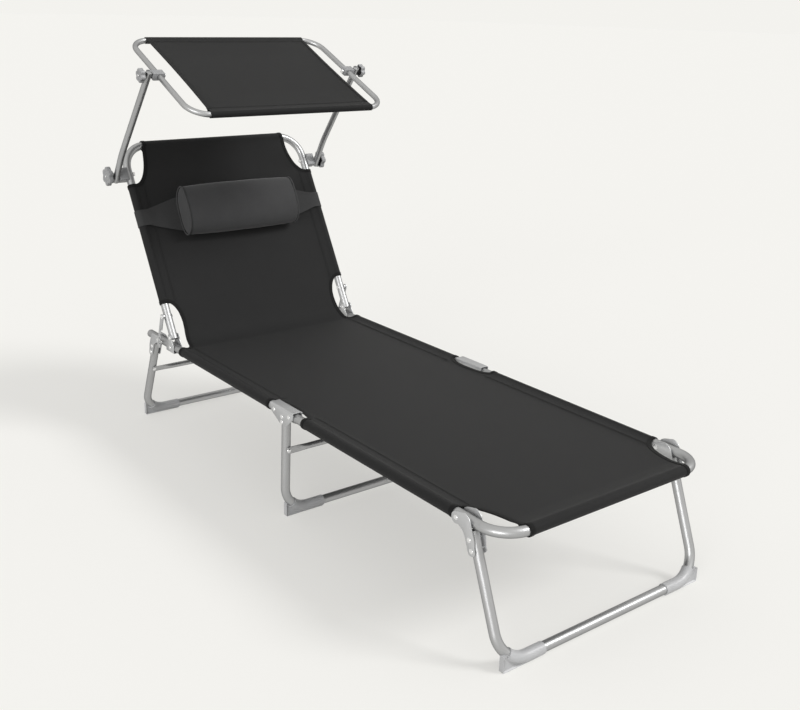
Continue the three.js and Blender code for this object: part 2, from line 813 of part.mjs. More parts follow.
// Length from the pivot's level down the leg that sets its bar on its shoes on the floor.
function legLength(pivotHeight, offset, tilt) {
  return (pivotHeight + offset * Math.sin(tilt) - shoeRadius) / Math.cos(tilt);
}

function legTube(offset, top, length, holes) {
  const reach = railHalf + tubeRadius + overrun;
  const tools = holes.map(({ y, z }) => pin(-reach, reach, y, z, holeRadius));
  for (const x of [-railHalf, railHalf]) {
    const ends = [point(x, offset, top + overrun), point(x, offset, top - boreDepth)];
    tools.push(sweep(ends, tubeRadius - tubeWall, alongY));
  }
  return cut(sweep(legStations(offset, top, length), tubeRadius, alongY), tools);
}

// Holes square to the leg's plane for a crossbar's rivets.
function faceHoles(offset, drop) {
  return [-1, 1].map((side) => {
    const hole = new THREE.CylinderGeometry(holeRadius, holeRadius, 2 * (tubeRadius + overrun), pinSides);
    return hole.translate(side * railHalf, offset, -drop);
  });
}

// A grey shoe round the lower half of the bend, with an upright web down to a flat heel on the floor.
function shoe(offset, tilt, top, length) {
  const stations = legStations(offset, top, length);
  const first = bendSteps + 2;
  const covered = [point(shoeTip, offset, -length), ...stations.slice(first, first + bendSteps / 2 + 1)];
  const middle = { x: railHalf - legBendRadius, z: legBendRadius };
  const outer = legBendRadius + shoeRadius;
  const heelTop = middle.z - Math.sqrt(outer ** 2 - (heelHalf - middle.x) ** 2);
  const outline = [
    flat(shoeTip, -shoeRadius),
    flat(heelHalf, -shoeRadius),
    flat(heelHalf, heelTop),
    flat(heelHalf - shoeRadius / 2, heelTop + shoeRadius / 4),
    flat(middle.x, 0),
    flat(shoeTip, 0),
  ];
  const web = drawnAlong(outline, -heelWidth / 2, heelWidth / 2);
  const shell = sweep(covered, shoeRadius, alongY).translate(0, -offset, length).rotateX(tilt);
  const bore = sweep(stations, tubeRadius + clearance, alongY).translate(0, -offset, length).rotateX(tilt);
  const reach = railHalf + overrun;
  const floor = box(0, reach, -reach, reach, -reach, -shoeRadius);
  return cut(join([shell, web]), [bore, floor]);
}

// Shoes keep the floor's directions, so they turn back by the leg's tilt about the bar.
function addShoes(group, name, offset, tilt, top, length) {
  pair((side, hand) => {
    const mesh = add(group, `${name}_shoe_${hand}`, handed(shoe(offset, tilt, top, length), side), "plastic");
    mesh.position.set(0, offset, -length);
    mesh.rotation.x = -tilt;
  });
}

// A tube with flattened ends that lie on the foot-side face of both legs, each held by a rivet.
function crossbar(offset, drop) {
  const face = offset - tubeRadius - clearance;
  const middle = face - lugThickness / 2;
  const inner = crossbarReach - lugHalfHeight;
  const lug = (side) => {
    const [x0, x1] = [side * inner, side * lugReach].sort((a, b) => a - b);
    return box(x0, x1, face - lugThickness, face, -drop - lugHalfHeight, -drop + lugHalfHeight);
  };
  const rivet = (side) => {
    const back = offset + tubeRadius + clearance;
    const shank = new THREE.CylinderGeometry(rivetRadius, rivetRadius, back - face + lugThickness, pinSides);
    const tail = new THREE.CylinderGeometry(rivetHeadRadius, rivetHeadRadius, rivetHeadHeight, pinSides);
    const head = tail.clone();
    return [
      shank.translate(side * railHalf, (back + face) / 2, -drop),
      tail.translate(side * railHalf, back + rivetHeadHeight / 2, -drop),
      head.translate(side * railHalf, face - lugThickness, -drop),
    ];
  };
  const ends = [point(-crossbarReach, middle, -drop), point(crossbarReach, middle, -drop)];
  const bar = sweep(ends, crossbarRadius, upZ);
  return join([bar, ...[-1, 1].flatMap((side) => [lug(side), ...rivet(side)])]);
}

// Two plates beside the rail and the leg, riveted through both; toward is the side the leg lies on.
function legBracket(offset, room) {
  const toward = Math.sign(offset);
  const inner = tubeRadius + room;
  const outer = inner + plateThickness;
  const size = Math.abs(offset);
  const endDrop = legRivetDrops[1];
  const right = [
    ...arc(flat(0, 0), pivotEndRadius, -Math.PI * 0.42, -Math.PI * 1.42, roundSteps),
    ...shoulderShares.map(([across, up]) => flat(size * across, pivotEndRadius * up)),
    ...arc(flat(size, -endDrop), bandEndRadius, -Math.PI * 0.1, -Math.PI * 0.95, roundSteps),
    flat(size - bandHalf * 0.7, -endDrop * 0.62),
    flat(size - bandHalf * 0.78, -endDrop * 0.42),
  ];
  const outline = right.map((p) => flat(toward * p.x, p.y));
  const plates = [slab(outline, inner, outer), slab(outline, -outer, -inner)];
  const rivets = legRivetDrops.map((drop) => headedPin(-outer, outer, offset, -drop));
  return join([...plates, headedPin(-outer, outer, 0, 0), ...rivets]);
}

// The cover over the middle hinge: a web on top and a plate each side that narrows to the leg.
function midBracket(legRivets) {
  const inner = tubeRadius + coverRoom;
  const outer = inner + plateThickness;
  const foot = -hingePitch - coverFoot;
  const outline = [
    flat(coverHead, coverRise + plateThickness),
    flat(foot, coverRise + plateThickness),
    flat(foot + plateThickness, -plateThickness),
    flat(-midOffset - tubeRadius * 2, -coverDepth + plateThickness),
    flat(-midOffset + tubeRadius * 0.8, -coverDepth),
    flat(coverHead - plateThickness * 2, -tubeRadius / 2),
  ];
  const web = box(-outer, outer, foot, coverHead, coverRise, coverRise + plateThickness);
  const plates = [slab(outline, inner, outer), slab(outline, -outer, -inner)];
  const places = [{ y: 0, z: 0 }, { y: -hingePitch, z: 0 }, ...legRivets];
  return join([web, ...plates, ...places.map(({ y, z }) => headedPin(-outer, outer, y, z))]);
}

// Foot frame, lying along -Y from its hinge rivet.

function footFrameStations() {
  const corners = [
    point(-railHalf, hingeEdge, 0),
    point(-railHalf, -footLength, 0),
    point(railHalf, -footLength, 0),
    point(railHalf, hingeEdge, 0),
  ];
  return bent(corners, frameBendRadius);
}

function footFrame() {
  const reach = railHalf + tubeRadius + overrun;
  const holes = [0, frontPivotAlong - footLength].map((y) => pin(-reach, reach, y, 0, holeRadius));
  return cut(sweep(footFrameStations(), tubeRadius, upZ), holes);
}

function footFabric() {
  const half = [
    ...cutOut(footNeckHalf, clothTuck, footSleeveStart),
    ...cutOut(midNeckHalf, seamAlong - seamRoom, footSleeveEnd).reverse(),
    flat(midNeckHalf, seamAlong - seamRoom / 2),
  ];
  const outline = mirroredOutline(half.map((p) => flat(p.x, p.y - footLength)));
  const [from, to] = [footSleeveStart - footLength, footSleeveEnd - footLength];
  const bar = [point(-footBarSleeveHalf, -footLength, 0), point(footBarSleeveHalf, -footLength, 0)];
  return clothOn(
    outline,
    clothRise,
    [...railSleeves(from, to, 0), sleeve(bar, upZ)],
    [...railBores(from, to, 0), sweep(footFrameStations(), sleeveBore, upZ)],
  );
}

// Assembly.

function beside(mesh, side) {
  mesh.position.x = side * railHalf;
  return mesh;
}

function addSeat(lounger) {
  pair((side, hand) => {
    beside(add(lounger, `rail_${hand}`, handed(rail(), side), "steel"), side);
    const plug = beside(add(lounger, `rail_plug_${hand}`, railPlug(), "plastic"), side);
    plug.position.z = railHeight;
    beside(add(lounger, `hinge_bracket_${hand}`, handed(hingeBracket(), side), "plate"), side);
    const outer = tubeRadius + plateThickness + 2 * clearance;
    const hingePin = headedPin(-outer, outer, backrestPivot, backrestPivotHeight);
    beside(add(lounger, `hinge_pin_${hand}`, handed(hingePin, side), "fastener"), side);
    beside(add(lounger, `latch_stud_${hand}`, handed(latchStud(), side), "fastener"), side);
  });
  add(lounger, "seat_fabric", seatFabric(), "fabric");
}

function addBackrest(lounger) {
  const backrest = pivoted(lounger, "backrest", backrestPivot, backrestPivotHeight, reclineAngle);
  add(backrest, "backrest_frame", backrestFrame(), "steel");
  add(backrest, "backrest_fabric", backrestFabric(), "fabric");
  add(backrest, "pillow", pillow(), "pillow");
  add(backrest, "pillow_strap", pillowStrap(), "fabric");
  pair((side, hand) => {
    add(backrest, `clamp_block_${hand}`, handed(clampBlock(), side), "plastic");
    beside(add(backrest, `strut_bolt_${hand}`, handed(strutBolt(), side), "fastener"), side);
    const lowerBolt = bolt(railHalf - tubeRadius - clearance, knobEnd(armFootHalf) + boltEnd, armAlong);
    add(backrest, `arm_bolt_${hand}`, handed(lowerBolt, side), "fastener");
    const hanger = pivoted(backrest, `strut_pivot_${hand}`, strutAlong, 0, strutLean - reclineAngle);
    beside(add(hanger, `strut_${hand}`, handed(strut(), side), "plate"), side);
    const grip = pivoted(backrest, `lower_knob_pivot_${hand}`, armAlong, 0, side < 0 ? knobTurn : 0);
    const star = knob(armFootHalf + armRadius + clearance, lowerKnobRadius);
    add(grip, `lower_knob_${hand}`, handed(star, side), "knob");
  });
  return backrest;
}

function knobEnd(armHalf) {
  return armHalf + armRadius + clearance + bossHeight + knobThickness;
}

function addCanopy(backrest) {
  const arms = pivoted(backrest, "arms", armAlong, 0, armAngle);
  pair((side, hand) => add(arms, `arm_${hand}`, handed(arm(), side), "steel"));
  const canopy = pivoted(arms, "canopy", armLength, 0, canopyAngle - reclineAngle - armAngle);
  add(canopy, "canopy_frame", canopyFrame(), "steel");
  add(canopy, "canopy_fabric", canopyFabric(), "fabric");
  pair((side, hand) => {
    add(canopy, `canopy_clamp_${hand}`, handed(canopyClamp(), side), "plastic");
    const upperBolt = bolt(clampInnerHalf - clearance, knobEnd(armTopHalf) + boltEnd, 0);
    add(canopy, `canopy_bolt_${hand}`, handed(upperBolt, side), "fastener");
    const grip = pivoted(canopy, `upper_knob_pivot_${hand}`, 0, 0, 0);
    const star = knob(armTopHalf + armRadius + clearance, upperKnobRadius);
    add(grip, `upper_knob_${hand}`, handed(star, side), "knob");
  });
}

function addSwingLeg(parent, name, y, z, tilt, offset) {
  const group = pivoted(parent, name, y, z, tilt);
  const length = legLength(railHeight, offset, tilt);
  const holes = legRivetDrops.map((drop) => ({ y: offset, z: -drop }));
  const room = offset < 0 ? frontPlateRoom : rearPlateRoom;
  const top = -legTopDrop(offset, tilt);
  const tube = legTube(offset, top, length, holes);
  add(group, `${name}_tube`, offset < 0 ? tube : cut(tube, faceHoles(offset, rearCrossbarDrop)), "steel");
  pair((side, hand) => {
    beside(add(group, `${name}_bracket_${hand}`, handed(legBracket(offset, room), side), "plate"), side);
  });
  addShoes(group, name, offset, tilt, top, length);
  return group;
}

function addMidLeg(lounger) {
  const group = pivoted(lounger, "mid_leg", seatHinge, railHeight, 0);
  const leg = pivoted(group, "mid_leg_lean", -midOffset, 0, midTilt);
  const length = legLength(railHeight, 0, midTilt);
  const holes = midRivetDrops.map((drop) => ({ y: 0, z: -drop }));
  const tube = cut(legTube(0, midTopRise, length, holes), faceHoles(0, midCrossbarDrop));
  add(leg, "mid_leg_tube", tube, "steel");
  add(leg, "mid_crossbar", crossbar(0, midCrossbarDrop), "steel");
  addShoes(leg, "mid_leg", 0, midTilt, midTopRise, length);
  const rivets = midRivetDrops.map((drop) => ({
    y: -midOffset + drop * Math.sin(midTilt),
    z: -drop * Math.cos(midTilt),
  }));
  pair((side, hand) => {
    beside(add(group, `mid_bracket_${hand}`, handed(midBracket(rivets), side), "plate"), side);
  });
  return group;
}

function addFootFrame(midLeg) {
  const group = pivoted(midLeg, "foot", -hingePitch, 0, 0);
  add(group, "foot_frame", footFrame(), "steel");
  add(group, "foot_fabric", footFabric(), "fabric");
  return group;
}

const lounger = new THREE.Group();
lounger.name = "lounger";
addSeat(lounger);
const backrest = addBackrest(lounger);
addCanopy(backrest);
const midLeg = addMidLeg(lounger);
const foot = addFootFrame(midLeg);
addSwingLeg(foot, "front_leg", frontPivotAlong - footLength, 0, -frontTilt, -frontOffset);
const rear = addSwingLeg(lounger, "rear_leg", rearPivot, railHeight, rearTilt, rearOffset);
add(rear, "rear_crossbar", crossbar(rearOffset, rearCrossbarDrop), "steel");

// The origin lies on the floor under the middle of the whole lounger.
lounger.updateMatrixWorld(true);
const bounds = new THREE.Box3().setFromObject(lounger, true);
lounger.position.y = -(bounds.min.y + bounds.max.y) / 2;

export default lounger;
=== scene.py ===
import math

import bmesh
import bpy
import numpy as np
from mathutils import Matrix, Vector


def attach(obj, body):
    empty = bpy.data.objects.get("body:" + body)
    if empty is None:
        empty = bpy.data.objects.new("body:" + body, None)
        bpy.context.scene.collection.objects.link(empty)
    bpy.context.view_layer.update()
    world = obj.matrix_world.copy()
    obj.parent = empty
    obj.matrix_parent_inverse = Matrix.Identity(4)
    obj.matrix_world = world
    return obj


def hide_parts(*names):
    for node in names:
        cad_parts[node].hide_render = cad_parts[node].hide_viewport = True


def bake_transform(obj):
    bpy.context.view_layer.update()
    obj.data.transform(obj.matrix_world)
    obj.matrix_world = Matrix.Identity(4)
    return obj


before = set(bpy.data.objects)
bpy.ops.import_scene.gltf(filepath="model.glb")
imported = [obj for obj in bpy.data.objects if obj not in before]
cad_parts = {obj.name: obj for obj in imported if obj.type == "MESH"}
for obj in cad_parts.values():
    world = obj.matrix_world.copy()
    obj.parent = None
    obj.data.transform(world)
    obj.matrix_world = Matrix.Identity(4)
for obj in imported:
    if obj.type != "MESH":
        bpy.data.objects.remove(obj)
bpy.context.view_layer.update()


# Sizes in each section are millimetres in the piece's own frame: x across the lounger, y along the piece
# from its pivot, z off its plane. settle() carries a finished mesh to its place, in metres.


# Seat rails: two straight runs of 21 mm steel tube with a satin silver coat, open at the ends.
# Each is one ring drawn out along the rail; its mouths are bored to the wall.
tube_radius = 10.5
tube_wall = 1.2
tube_sides = 32
hands = ((-1, "left"), (1, "right"))
rail_half = 278.0
rail_height = 264.5
rail_from, rail_to = 745.6, 1432.0
frame_origin = 771.574
silver = (0.46, 0.463, 0.467)
seat_frame = Matrix.Translation((0, -frame_origin / 1000, 0))


class Socket:
    """A shader socket; an expression on it adds the Math nodes that work it out."""

    def __init__(self, finish, socket):
        self.finish = finish
        self.socket = socket

    def math(self, operation, first, second=0.0):
        return self.finish.node("ShaderNodeMath", {"operation": operation}, {0: first, 1: second})

    def output(self, name):
        """Another output of the same node."""
        return Socket(self.finish, self.socket.node.outputs[name])

    def most(self, other):
        return self.math("MAXIMUM", self, other)

    def __add__(self, other):
        return self.math("ADD", self, other)

    def __sub__(self, other):
        return self.math("SUBTRACT", self, other)

    def __mul__(self, other):
        return self.math("MULTIPLY", self, other)

    def __rsub__(self, other):
        return self.math("SUBTRACT", other, self)

    def __gt__(self, other):
        return self.math("GREATER_THAN", self, other)

    __radd__ = __add__
    __rmul__ = __mul__


class Finish:
    """The nodes of one material or world: node() adds any node, dress() sets the shader's sockets."""

    def __init__(self, owner):
        owner.use_nodes = True
        self.owner = owner
        self.tree = owner.node_tree
        self.shader = self.tree.nodes.get("Principled BSDF") or self.tree.nodes["Background"]

    def put(self, sockets, key, value):
        if isinstance(value, Socket):
            self.tree.links.new(value.socket, sockets[key])
        elif isinstance(value, tuple) and len(value) == 3 and sockets[key].type == "RGBA":
            sockets[key].default_value = (*value, 1)
        else:
            sockets[key].default_value = value

    def node(self, kind, settings, values, output=0):
        made = self.tree.nodes.new(kind)
        for name, value in settings.items():
            setattr(made, name, value)
        for key, value in values.items():
            self.put(made.inputs, key, value)
        return Socket(self, made.outputs[output])

    def dress(self, values):
        for key, value in values.items():
            self.put(self.shader.inputs, key, value)
        return self.owner

    def show(self, shader):
        """Sends a shader to the output."""
        out = next(node for node in self.tree.nodes if node.type.startswith("OUTPUT"))
        self.tree.links.new(shader.socket, out.inputs["Surface"])

    def place(self, stretch=(1, 1, 1)):
        spot = self.node("ShaderNodeTexCoord", {}, {}, "Object")
        return self.node("ShaderNodeMapping", {}, {"Vector": spot, "Scale": stretch})

    def grain(self, spot, scale, detail=2.0, rough=0.5):
        values = {"Vector": spot, "Scale": scale, "Detail": detail, "Roughness": rough}
        return self.node("ShaderNodeTexNoise", {}, values, "Fac")

    def span(self, value, low, high):
        """A value from 0 to 1, carried to run from low to high."""
        return value * (high - low) + low

    def window(self, value, low, high):
        """0 below low, 1 above high, and a smooth step between."""
        settings = {"interpolation_type": "SMOOTHSTEP"}
        return self.node("ShaderNodeMapRange", settings, {"Value": value, "From Min": low, "From Max": high})

    def blend(self, share, first, second):
        return self.node("ShaderNodeMix", {"data_type": "RGBA"}, {0: share, 6: first, 7: second}, 2)

    def bump(self, height, depth):
        return self.node("ShaderNodeBump", {}, {"Height": height, "Distance": depth}, "Normal")


def toned(colour, share):
    """A colour made darker, or paler up to white."""
    return tuple(min(1.0, share * c) for c in colour)


def coated_steel(name, colour, metal, rough, grit):
    """Silver coat on steel: fine grit, soft cloudy tone, and dull rubbed spots."""
    coat = Finish(bpy.data.materials.new(name))
    spot = coat.place()
    cloud = coat.grain(spot, 9, 3)
    fine = coat.grain(spot, 1500)
    rubbed = coat.window(coat.grain(spot, 55, 5, 0.65), 0.60, 0.74)
    tone = coat.span(cloud, 0.0, 0.6) + coat.span(fine, 0.0, 0.35)
    base = coat.blend(tone, toned(colour, 0.86), toned(colour, 1.08))
    return coat.dress({
        "Base Color": coat.blend(rubbed * 0.35, base, toned(colour, 0.80)),
        "Metallic": metal,
        "Roughness": coat.span(cloud, rough - 0.04, rough + 0.05) + rubbed * 0.10,
        "Specular Tint": (0.12, 0.12, 0.123),
        "Normal": coat.bump(fine, grit),
    })


tube_steel = coated_steel("tube_steel", silver, metal=0.80, rough=0.40, grit=0.00002)


def alone(piece):
    """Only this piece selected and active, in object mode."""
    if bpy.context.object and bpy.context.object.mode != "OBJECT":
        bpy.ops.object.mode_set(mode="OBJECT")
    bpy.ops.object.select_all(action="DESELECT")
    if piece:
        piece.select_set(True)
        bpy.context.view_layer.objects.active = piece


def edit_all(piece):
    """Edit mode with every vertex selected; a bare ring is only selected in vertex mode."""
    alone(piece)
    bpy.ops.object.mode_set(mode="EDIT")
    bpy.ops.mesh.select_mode(type="VERT")
    bpy.ops.mesh.select_all(action="SELECT")


def pick(piece, kind, test):
    """Selects in edit mode the vertices, edges or faces whose centre passes the test."""
    bpy.ops.mesh.select_mode(type=kind)
    bpy.ops.mesh.select_all(action="DESELECT")
    made = bmesh.from_edit_mesh(piece.data)
    for part in {"VERT": made.verts, "EDGE": made.edges, "FACE": made.faces}[kind]:
        ends = [part] if kind == "VERT" else part.verts
        centre = sum((v.co for v in ends), Vector()) / len(ends)
        if test(part, centre):
            part.select_set(True)
    made.select_flush_mode()
    bmesh.update_edit_mesh(piece.data)


def join(name, pieces):
    """Pieces made into one object; the first keeps its materials first."""
    alone(pieces[0])
    for piece in pieces:
        piece.select_set(True)
    if len(pieces) > 1:
        bpy.ops.object.join()
    pieces[0].name = name
    return pieces[0]


def modify(piece, kind, **settings):
    """Adds one modifier and applies it."""
    alone(piece)
    made = piece.modifiers.new(kind.lower(), kind)
    for key, value in settings.items():
        setattr(made, key, value)
    bpy.ops.object.modifier_apply(modifier=made.name)
    return piece


def rounded(piece, width, segments=2, angle=40):
    return modify(piece, "BEVEL", width=width, segments=segments, limit_method="ANGLE",
                  angle_limit=math.radians(angle), harden_normals=False)


def settle(piece, body_frame, material=None, smooth=40, mirror=False):
    """Carries a piece built in millimetres to its place in metres; mirror turns it to the other hand."""
    alone(piece)
    if material:
        piece.data.materials.clear()
        piece.data.materials.append(material)
    flip = Matrix.Diagonal((-1, 1, 1, 1)) if mirror else Matrix.Identity(4)
    piece.data.transform(body_frame @ Matrix.Scale(0.001, 4) @ flip)
    piece.matrix_world = Matrix.Identity(4)
    if mirror:
        piece.data.flip_normals()
    bpy.ops.object.shade_smooth_by_angle(angle=math.radians(smooth))
    return piece


def finished(piece, material):
    piece.data.materials.append(material)
    return piece


def mount(piece, body, slot, *nodes):
    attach(piece, body)
    if nodes:
        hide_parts(*nodes)


def bent_tube(name, corners, bend, radius, sides=tube_sides, steps=14, bore=16.0):
    """A ring drawn out along each straight run and spun round each corner, then bored at both mouths."""
    corners = [Vector(c) for c in corners]
    heading = (corners[1] - corners[0]).normalized()
    alone(None)
    bpy.ops.mesh.primitive_circle_add(vertices=sides, radius=radius, location=corners[0],
                                      rotation=heading.to_track_quat("Z", "Y").to_euler())
    tube = bpy.context.object
    tube.name = name
    bpy.ops.object.transform_apply()
    edit_all(tube)
    here = corners[0]
    for corner, ahead in zip(corners[1:-1], corners[2:]):
        before = (corner - here).normalized()
        after = (ahead - corner).normalized()
        turn = before.angle(after)
        axis = before.cross(after).normalized()
        reach = bend * math.tan(turn / 2)
        start = corner - before * reach
        bpy.ops.mesh.extrude_region_move(TRANSFORM_OT_translate={"value": start - here})
        centre = start + axis.cross(before) * bend
        count = max(3, round(steps * turn / (math.pi / 2)))
        bpy.ops.mesh.spin(steps=count, angle=turn, center=centre, axis=-axis)
        here = corner + after * reach
    bpy.ops.mesh.extrude_region_move(TRANSFORM_OT_translate={"value": corners[-1] - here})
    last = (corners[-1] - corners[-2]).normalized()
    for mouth, inward in ((corners[-1], -last), (corners[0], heading)):
        pick(tube, "VERT", lambda part, co: (co - mouth).length < radius * 1.05)
        bpy.ops.mesh.edge_face_add()
        if bore:
            bpy.ops.mesh.inset(thickness=tube_wall * 0.35)
            bpy.ops.transform.translate(value=-inward * tube_wall * 0.3)
            bpy.ops.mesh.inset(thickness=tube_wall * 0.65)
            bpy.ops.mesh.extrude_region_move(TRANSFORM_OT_translate={"value": inward * bore})
    bpy.ops.mesh.select_all(action="SELECT")
    bpy.ops.mesh.remove_doubles(threshold=0.01)
    bpy.ops.mesh.normals_make_consistent(inside=False)
    bpy.ops.object.mode_set(mode="OBJECT")
    return tube


for side, hand in hands:
    ends = [(side * rail_half, y, rail_height) for y in (rail_from, rail_to)]
    rail = bent_tube(f"rail_tube_{hand}", ends, 0, tube_radius)
    settle(rail, seat_frame, tube_steel)
    mount(rail, "seat", "steel_tube", f"rail_{hand}")


# Rail plugs: moulded grey caps pressed into the head ends of the rails, domed, with a parting ring.
# A short cylinder whose end face is inset and pushed out in steps; its back is drawn out into the tube.
room = 0.3
nearby = 0.1
plug_rim, plug_depth = 1.4, 14.0
plug_steps = ((0.5, 0.4), (2.2, 2.2), (2.8, 1.5), (2.6, 0.5))
plug_grey = (0.40, 0.402, 0.406)


def moulded(name, colour, rough):
    """Moulded plastic: spark-eroded grain, slight cloudy tone and rubbed, paler spots."""
    shell = Finish(bpy.data.materials.new(name))
    spot = shell.place()
    cloud = shell.grain(spot, 30, 3)
    texture = shell.grain(spot, 900, 3, 0.6)
    scuff = shell.window(shell.grain(spot, 140, 4, 0.7), 0.58, 0.70)
    base = shell.blend(cloud, toned(colour, 0.84), toned(colour, 1.16))
    return shell.dress({
        "Base Color": shell.blend(scuff * 0.3, base, toned(colour, 1.35)),
        "Roughness": shell.span(texture, rough - 0.08, rough + 0.08) - scuff * 0.08,
        "Normal": shell.bump(texture, 0.00004),
    })


def drum(name, at, length, radius, toward=(1, 0, 0), sides=28):
    """A closed round bar from a point, along a direction."""
    toward = Vector(toward).normalized()
    alone(None)
    bpy.ops.mesh.primitive_cylinder_add(vertices=sides, radius=radius, depth=length,
                                        location=Vector(at) + toward * length / 2,
                                        rotation=toward.to_track_quat("Z", "Y").to_euler())
    bar = bpy.context.object
    bar.name = name
    bpy.ops.object.transform_apply()
    return bar


plug_plastic = moulded("plug_plastic", plug_grey, 0.45)
for side, hand in hands:
    seat = rail_to + room
    cap = drum(f"rail_cap_{hand}", (side * rail_half, seat, rail_height), plug_rim, tube_radius, (0, 1, 0),
               tube_sides)
    bpy.ops.object.mode_set(mode="EDIT")
    pick(cap, "FACE", lambda face, co: co.y > seat + plug_rim - nearby)
    for inset, rise in plug_steps:
        bpy.ops.mesh.inset(thickness=inset)
        bpy.ops.transform.translate(value=(0, rise, 0))
    pick(cap, "FACE", lambda face, co: co.y < seat + nearby and abs(face.normal.y) > 0.9)
    bpy.ops.mesh.inset(thickness=tube_wall + room)
    bpy.ops.mesh.extrude_region_move(TRANSFORM_OT_translate={"value": (0, -plug_depth, 0)})
    bpy.ops.object.mode_set(mode="OBJECT")
    settle(rounded(cap, 0.3), seat_frame, plug_plastic)
    mount(cap, "seat", "grey_plastic", f"rail_plug_{hand}")


# Backrest hinge brackets: 1.8 mm pressed steel folded up round the rail, with rounded ears that carry the
# backrest's pin. The outline is drawn across, its open sides are taken off, the folds are rounded and the
# sheet gets its wall.
plate_wall = 1.8
pressed_edge = 0.35
rivet_radius, rivet_height = 5.4, 1.8
shank_radius = 3.0
backrest_along, backrest_height = 1288.0, 290.5
saddle_half, saddle_top, saddle_fold = 22.0, 6.0, 2.4
ear_radius = 10.5
plate_silver = (0.60, 0.604, 0.61)
plate_steel = coated_steel("plate_steel", plate_silver, metal=0.72, rough=0.46, grit=0.00003)


def zinc(name, colour, rough):
    """Bright plated fastener: fine turned rings and grey stains."""
    plated = Finish(bpy.data.materials.new(name))
    spot = plated.place()
    stain = plated.window(plated.grain(spot, 210, 4, 0.6), 0.52, 0.72)
    fine = plated.grain(plated.place((1, 6, 6)), 1100)
    return plated.dress({
        "Base Color": plated.blend(stain * 0.5, colour, toned(colour, 0.62)),
        "Metallic": 0.9,
        "Roughness": plated.span(fine, rough - 0.05, rough + 0.06) + stain * 0.12,
        "Normal": plated.bump(fine, 0.00002),
    })


bright_zinc = zinc("bright_zinc", (0.78, 0.78, 0.785), 0.24)


def outline_block(name, outline, x0, x1):
    """A filled ring shaped to an outline in the side view, drawn out across from x0 to x1."""
    alone(None)
    bpy.ops.mesh.primitive_circle_add(vertices=len(outline), radius=1, fill_type="NGON")
    block = bpy.context.object
    block.name = name
    for vertex, (y, z) in zip(block.data.vertices, outline):
        vertex.co = (x0, y, z)
    edit_all(block)
    bpy.ops.mesh.extrude_region_move(TRANSFORM_OT_translate={"value": (x1 - x0, 0, 0)})
    bpy.ops.mesh.select_all(action="SELECT")
    bpy.ops.mesh.normals_make_consistent(inside=False)
    bpy.ops.object.mode_set(mode="OBJECT")
    return block


def arc(y, z, radius, start, end, steps=14):
    """Points round a centre in the side view, from one angle in degrees to another."""
    turns = [math.radians(start + (end - start) * i / steps) for i in range(steps + 1)]
    return [(y + radius * math.cos(t), z + radius * math.sin(t)) for t in turns]


def folded_plate(name, outline, half, keep, fold):
    """Both side walls of an outline and the web that keep() names, folded from one sheet."""
    plate = outline_block(name, outline, -half, half)
    bpy.ops.object.mode_set(mode="EDIT")
    pick(plate, "FACE", lambda face, co: abs(face.normal.x) < 0.5 and not keep(face, co))
    bpy.ops.mesh.delete(type="FACE")
    pick(plate, "EDGE", lambda edge, co: len(edge.link_faces) == 2 and abs(edge.calc_face_angle()) > 1)
    bpy.ops.mesh.bevel(offset=fold, segments=5)
    bpy.ops.mesh.select_all(action="SELECT")
    bpy.ops.mesh.normals_make_consistent(inside=False)
    bpy.ops.object.mode_set(mode="OBJECT")
    modify(plate, "SOLIDIFY", thickness=plate_wall, offset=-1, use_even_offset=True)
    return finished(rounded(plate, pressed_edge), plate_steel)


def dome(name, at, radius, height, toward=(1, 0, 0)):
    """A rivet head: the upper half of a ball pressed low, on a thin rim."""
    cut, rim = 0.05, 0.3
    toward = Vector(toward).normalized()
    turn = toward.to_track_quat("Z", "Y").to_matrix().to_4x4()
    alone(None)
    bpy.ops.mesh.primitive_uv_sphere_add(segments=24, ring_count=12, radius=1)
    head = bpy.context.object
    head.name = name
    edit_all(head)
    bpy.ops.mesh.bisect(plane_co=(0, 0, cut), plane_no=(0, 0, 1), clear_inner=True, use_fill=True)
    pick(head, "FACE", lambda face, co: co.z < cut + 0.01 and abs(face.normal.z) > 0.9)
    bpy.ops.mesh.extrude_region_move(TRANSFORM_OT_translate={"value": (0, 0, -rim)})
    bpy.ops.object.mode_set(mode="OBJECT")
    head.data.transform(Matrix.Translation(at) @ turn @ Matrix.Diagonal((radius, radius, height, 1))
                        @ Matrix.Translation((0, 0, -cut)))
    return finished(head, bright_zinc)


def rivet(name, x0, x1, y, z):
    """Two heads and the shank between them, through whatever lies from x0 to x1."""
    low = dome(name, (x0, y, z), rivet_radius, rivet_height, (-1, 0, 0))
    high = dome(name, (x1, y, z), rivet_radius, rivet_height, (1, 0, 0))
    body = drum(name, (x0 - room, y, z), x1 - x0 + 2 * room, shank_radius, (1, 0, 0), 20)
    return join(name, [low, high, finished(body, bright_zinc)])


def beside(piece, side):
    """Moves a piece that was made on the middle plane out to a rail."""
    piece.data.transform(Matrix.Translation((side * rail_half, 0, 0)))
    return piece


def saddle_web(face, co):
    return face.normal.z < -0.5 and co.z < rail_height - tube_radius


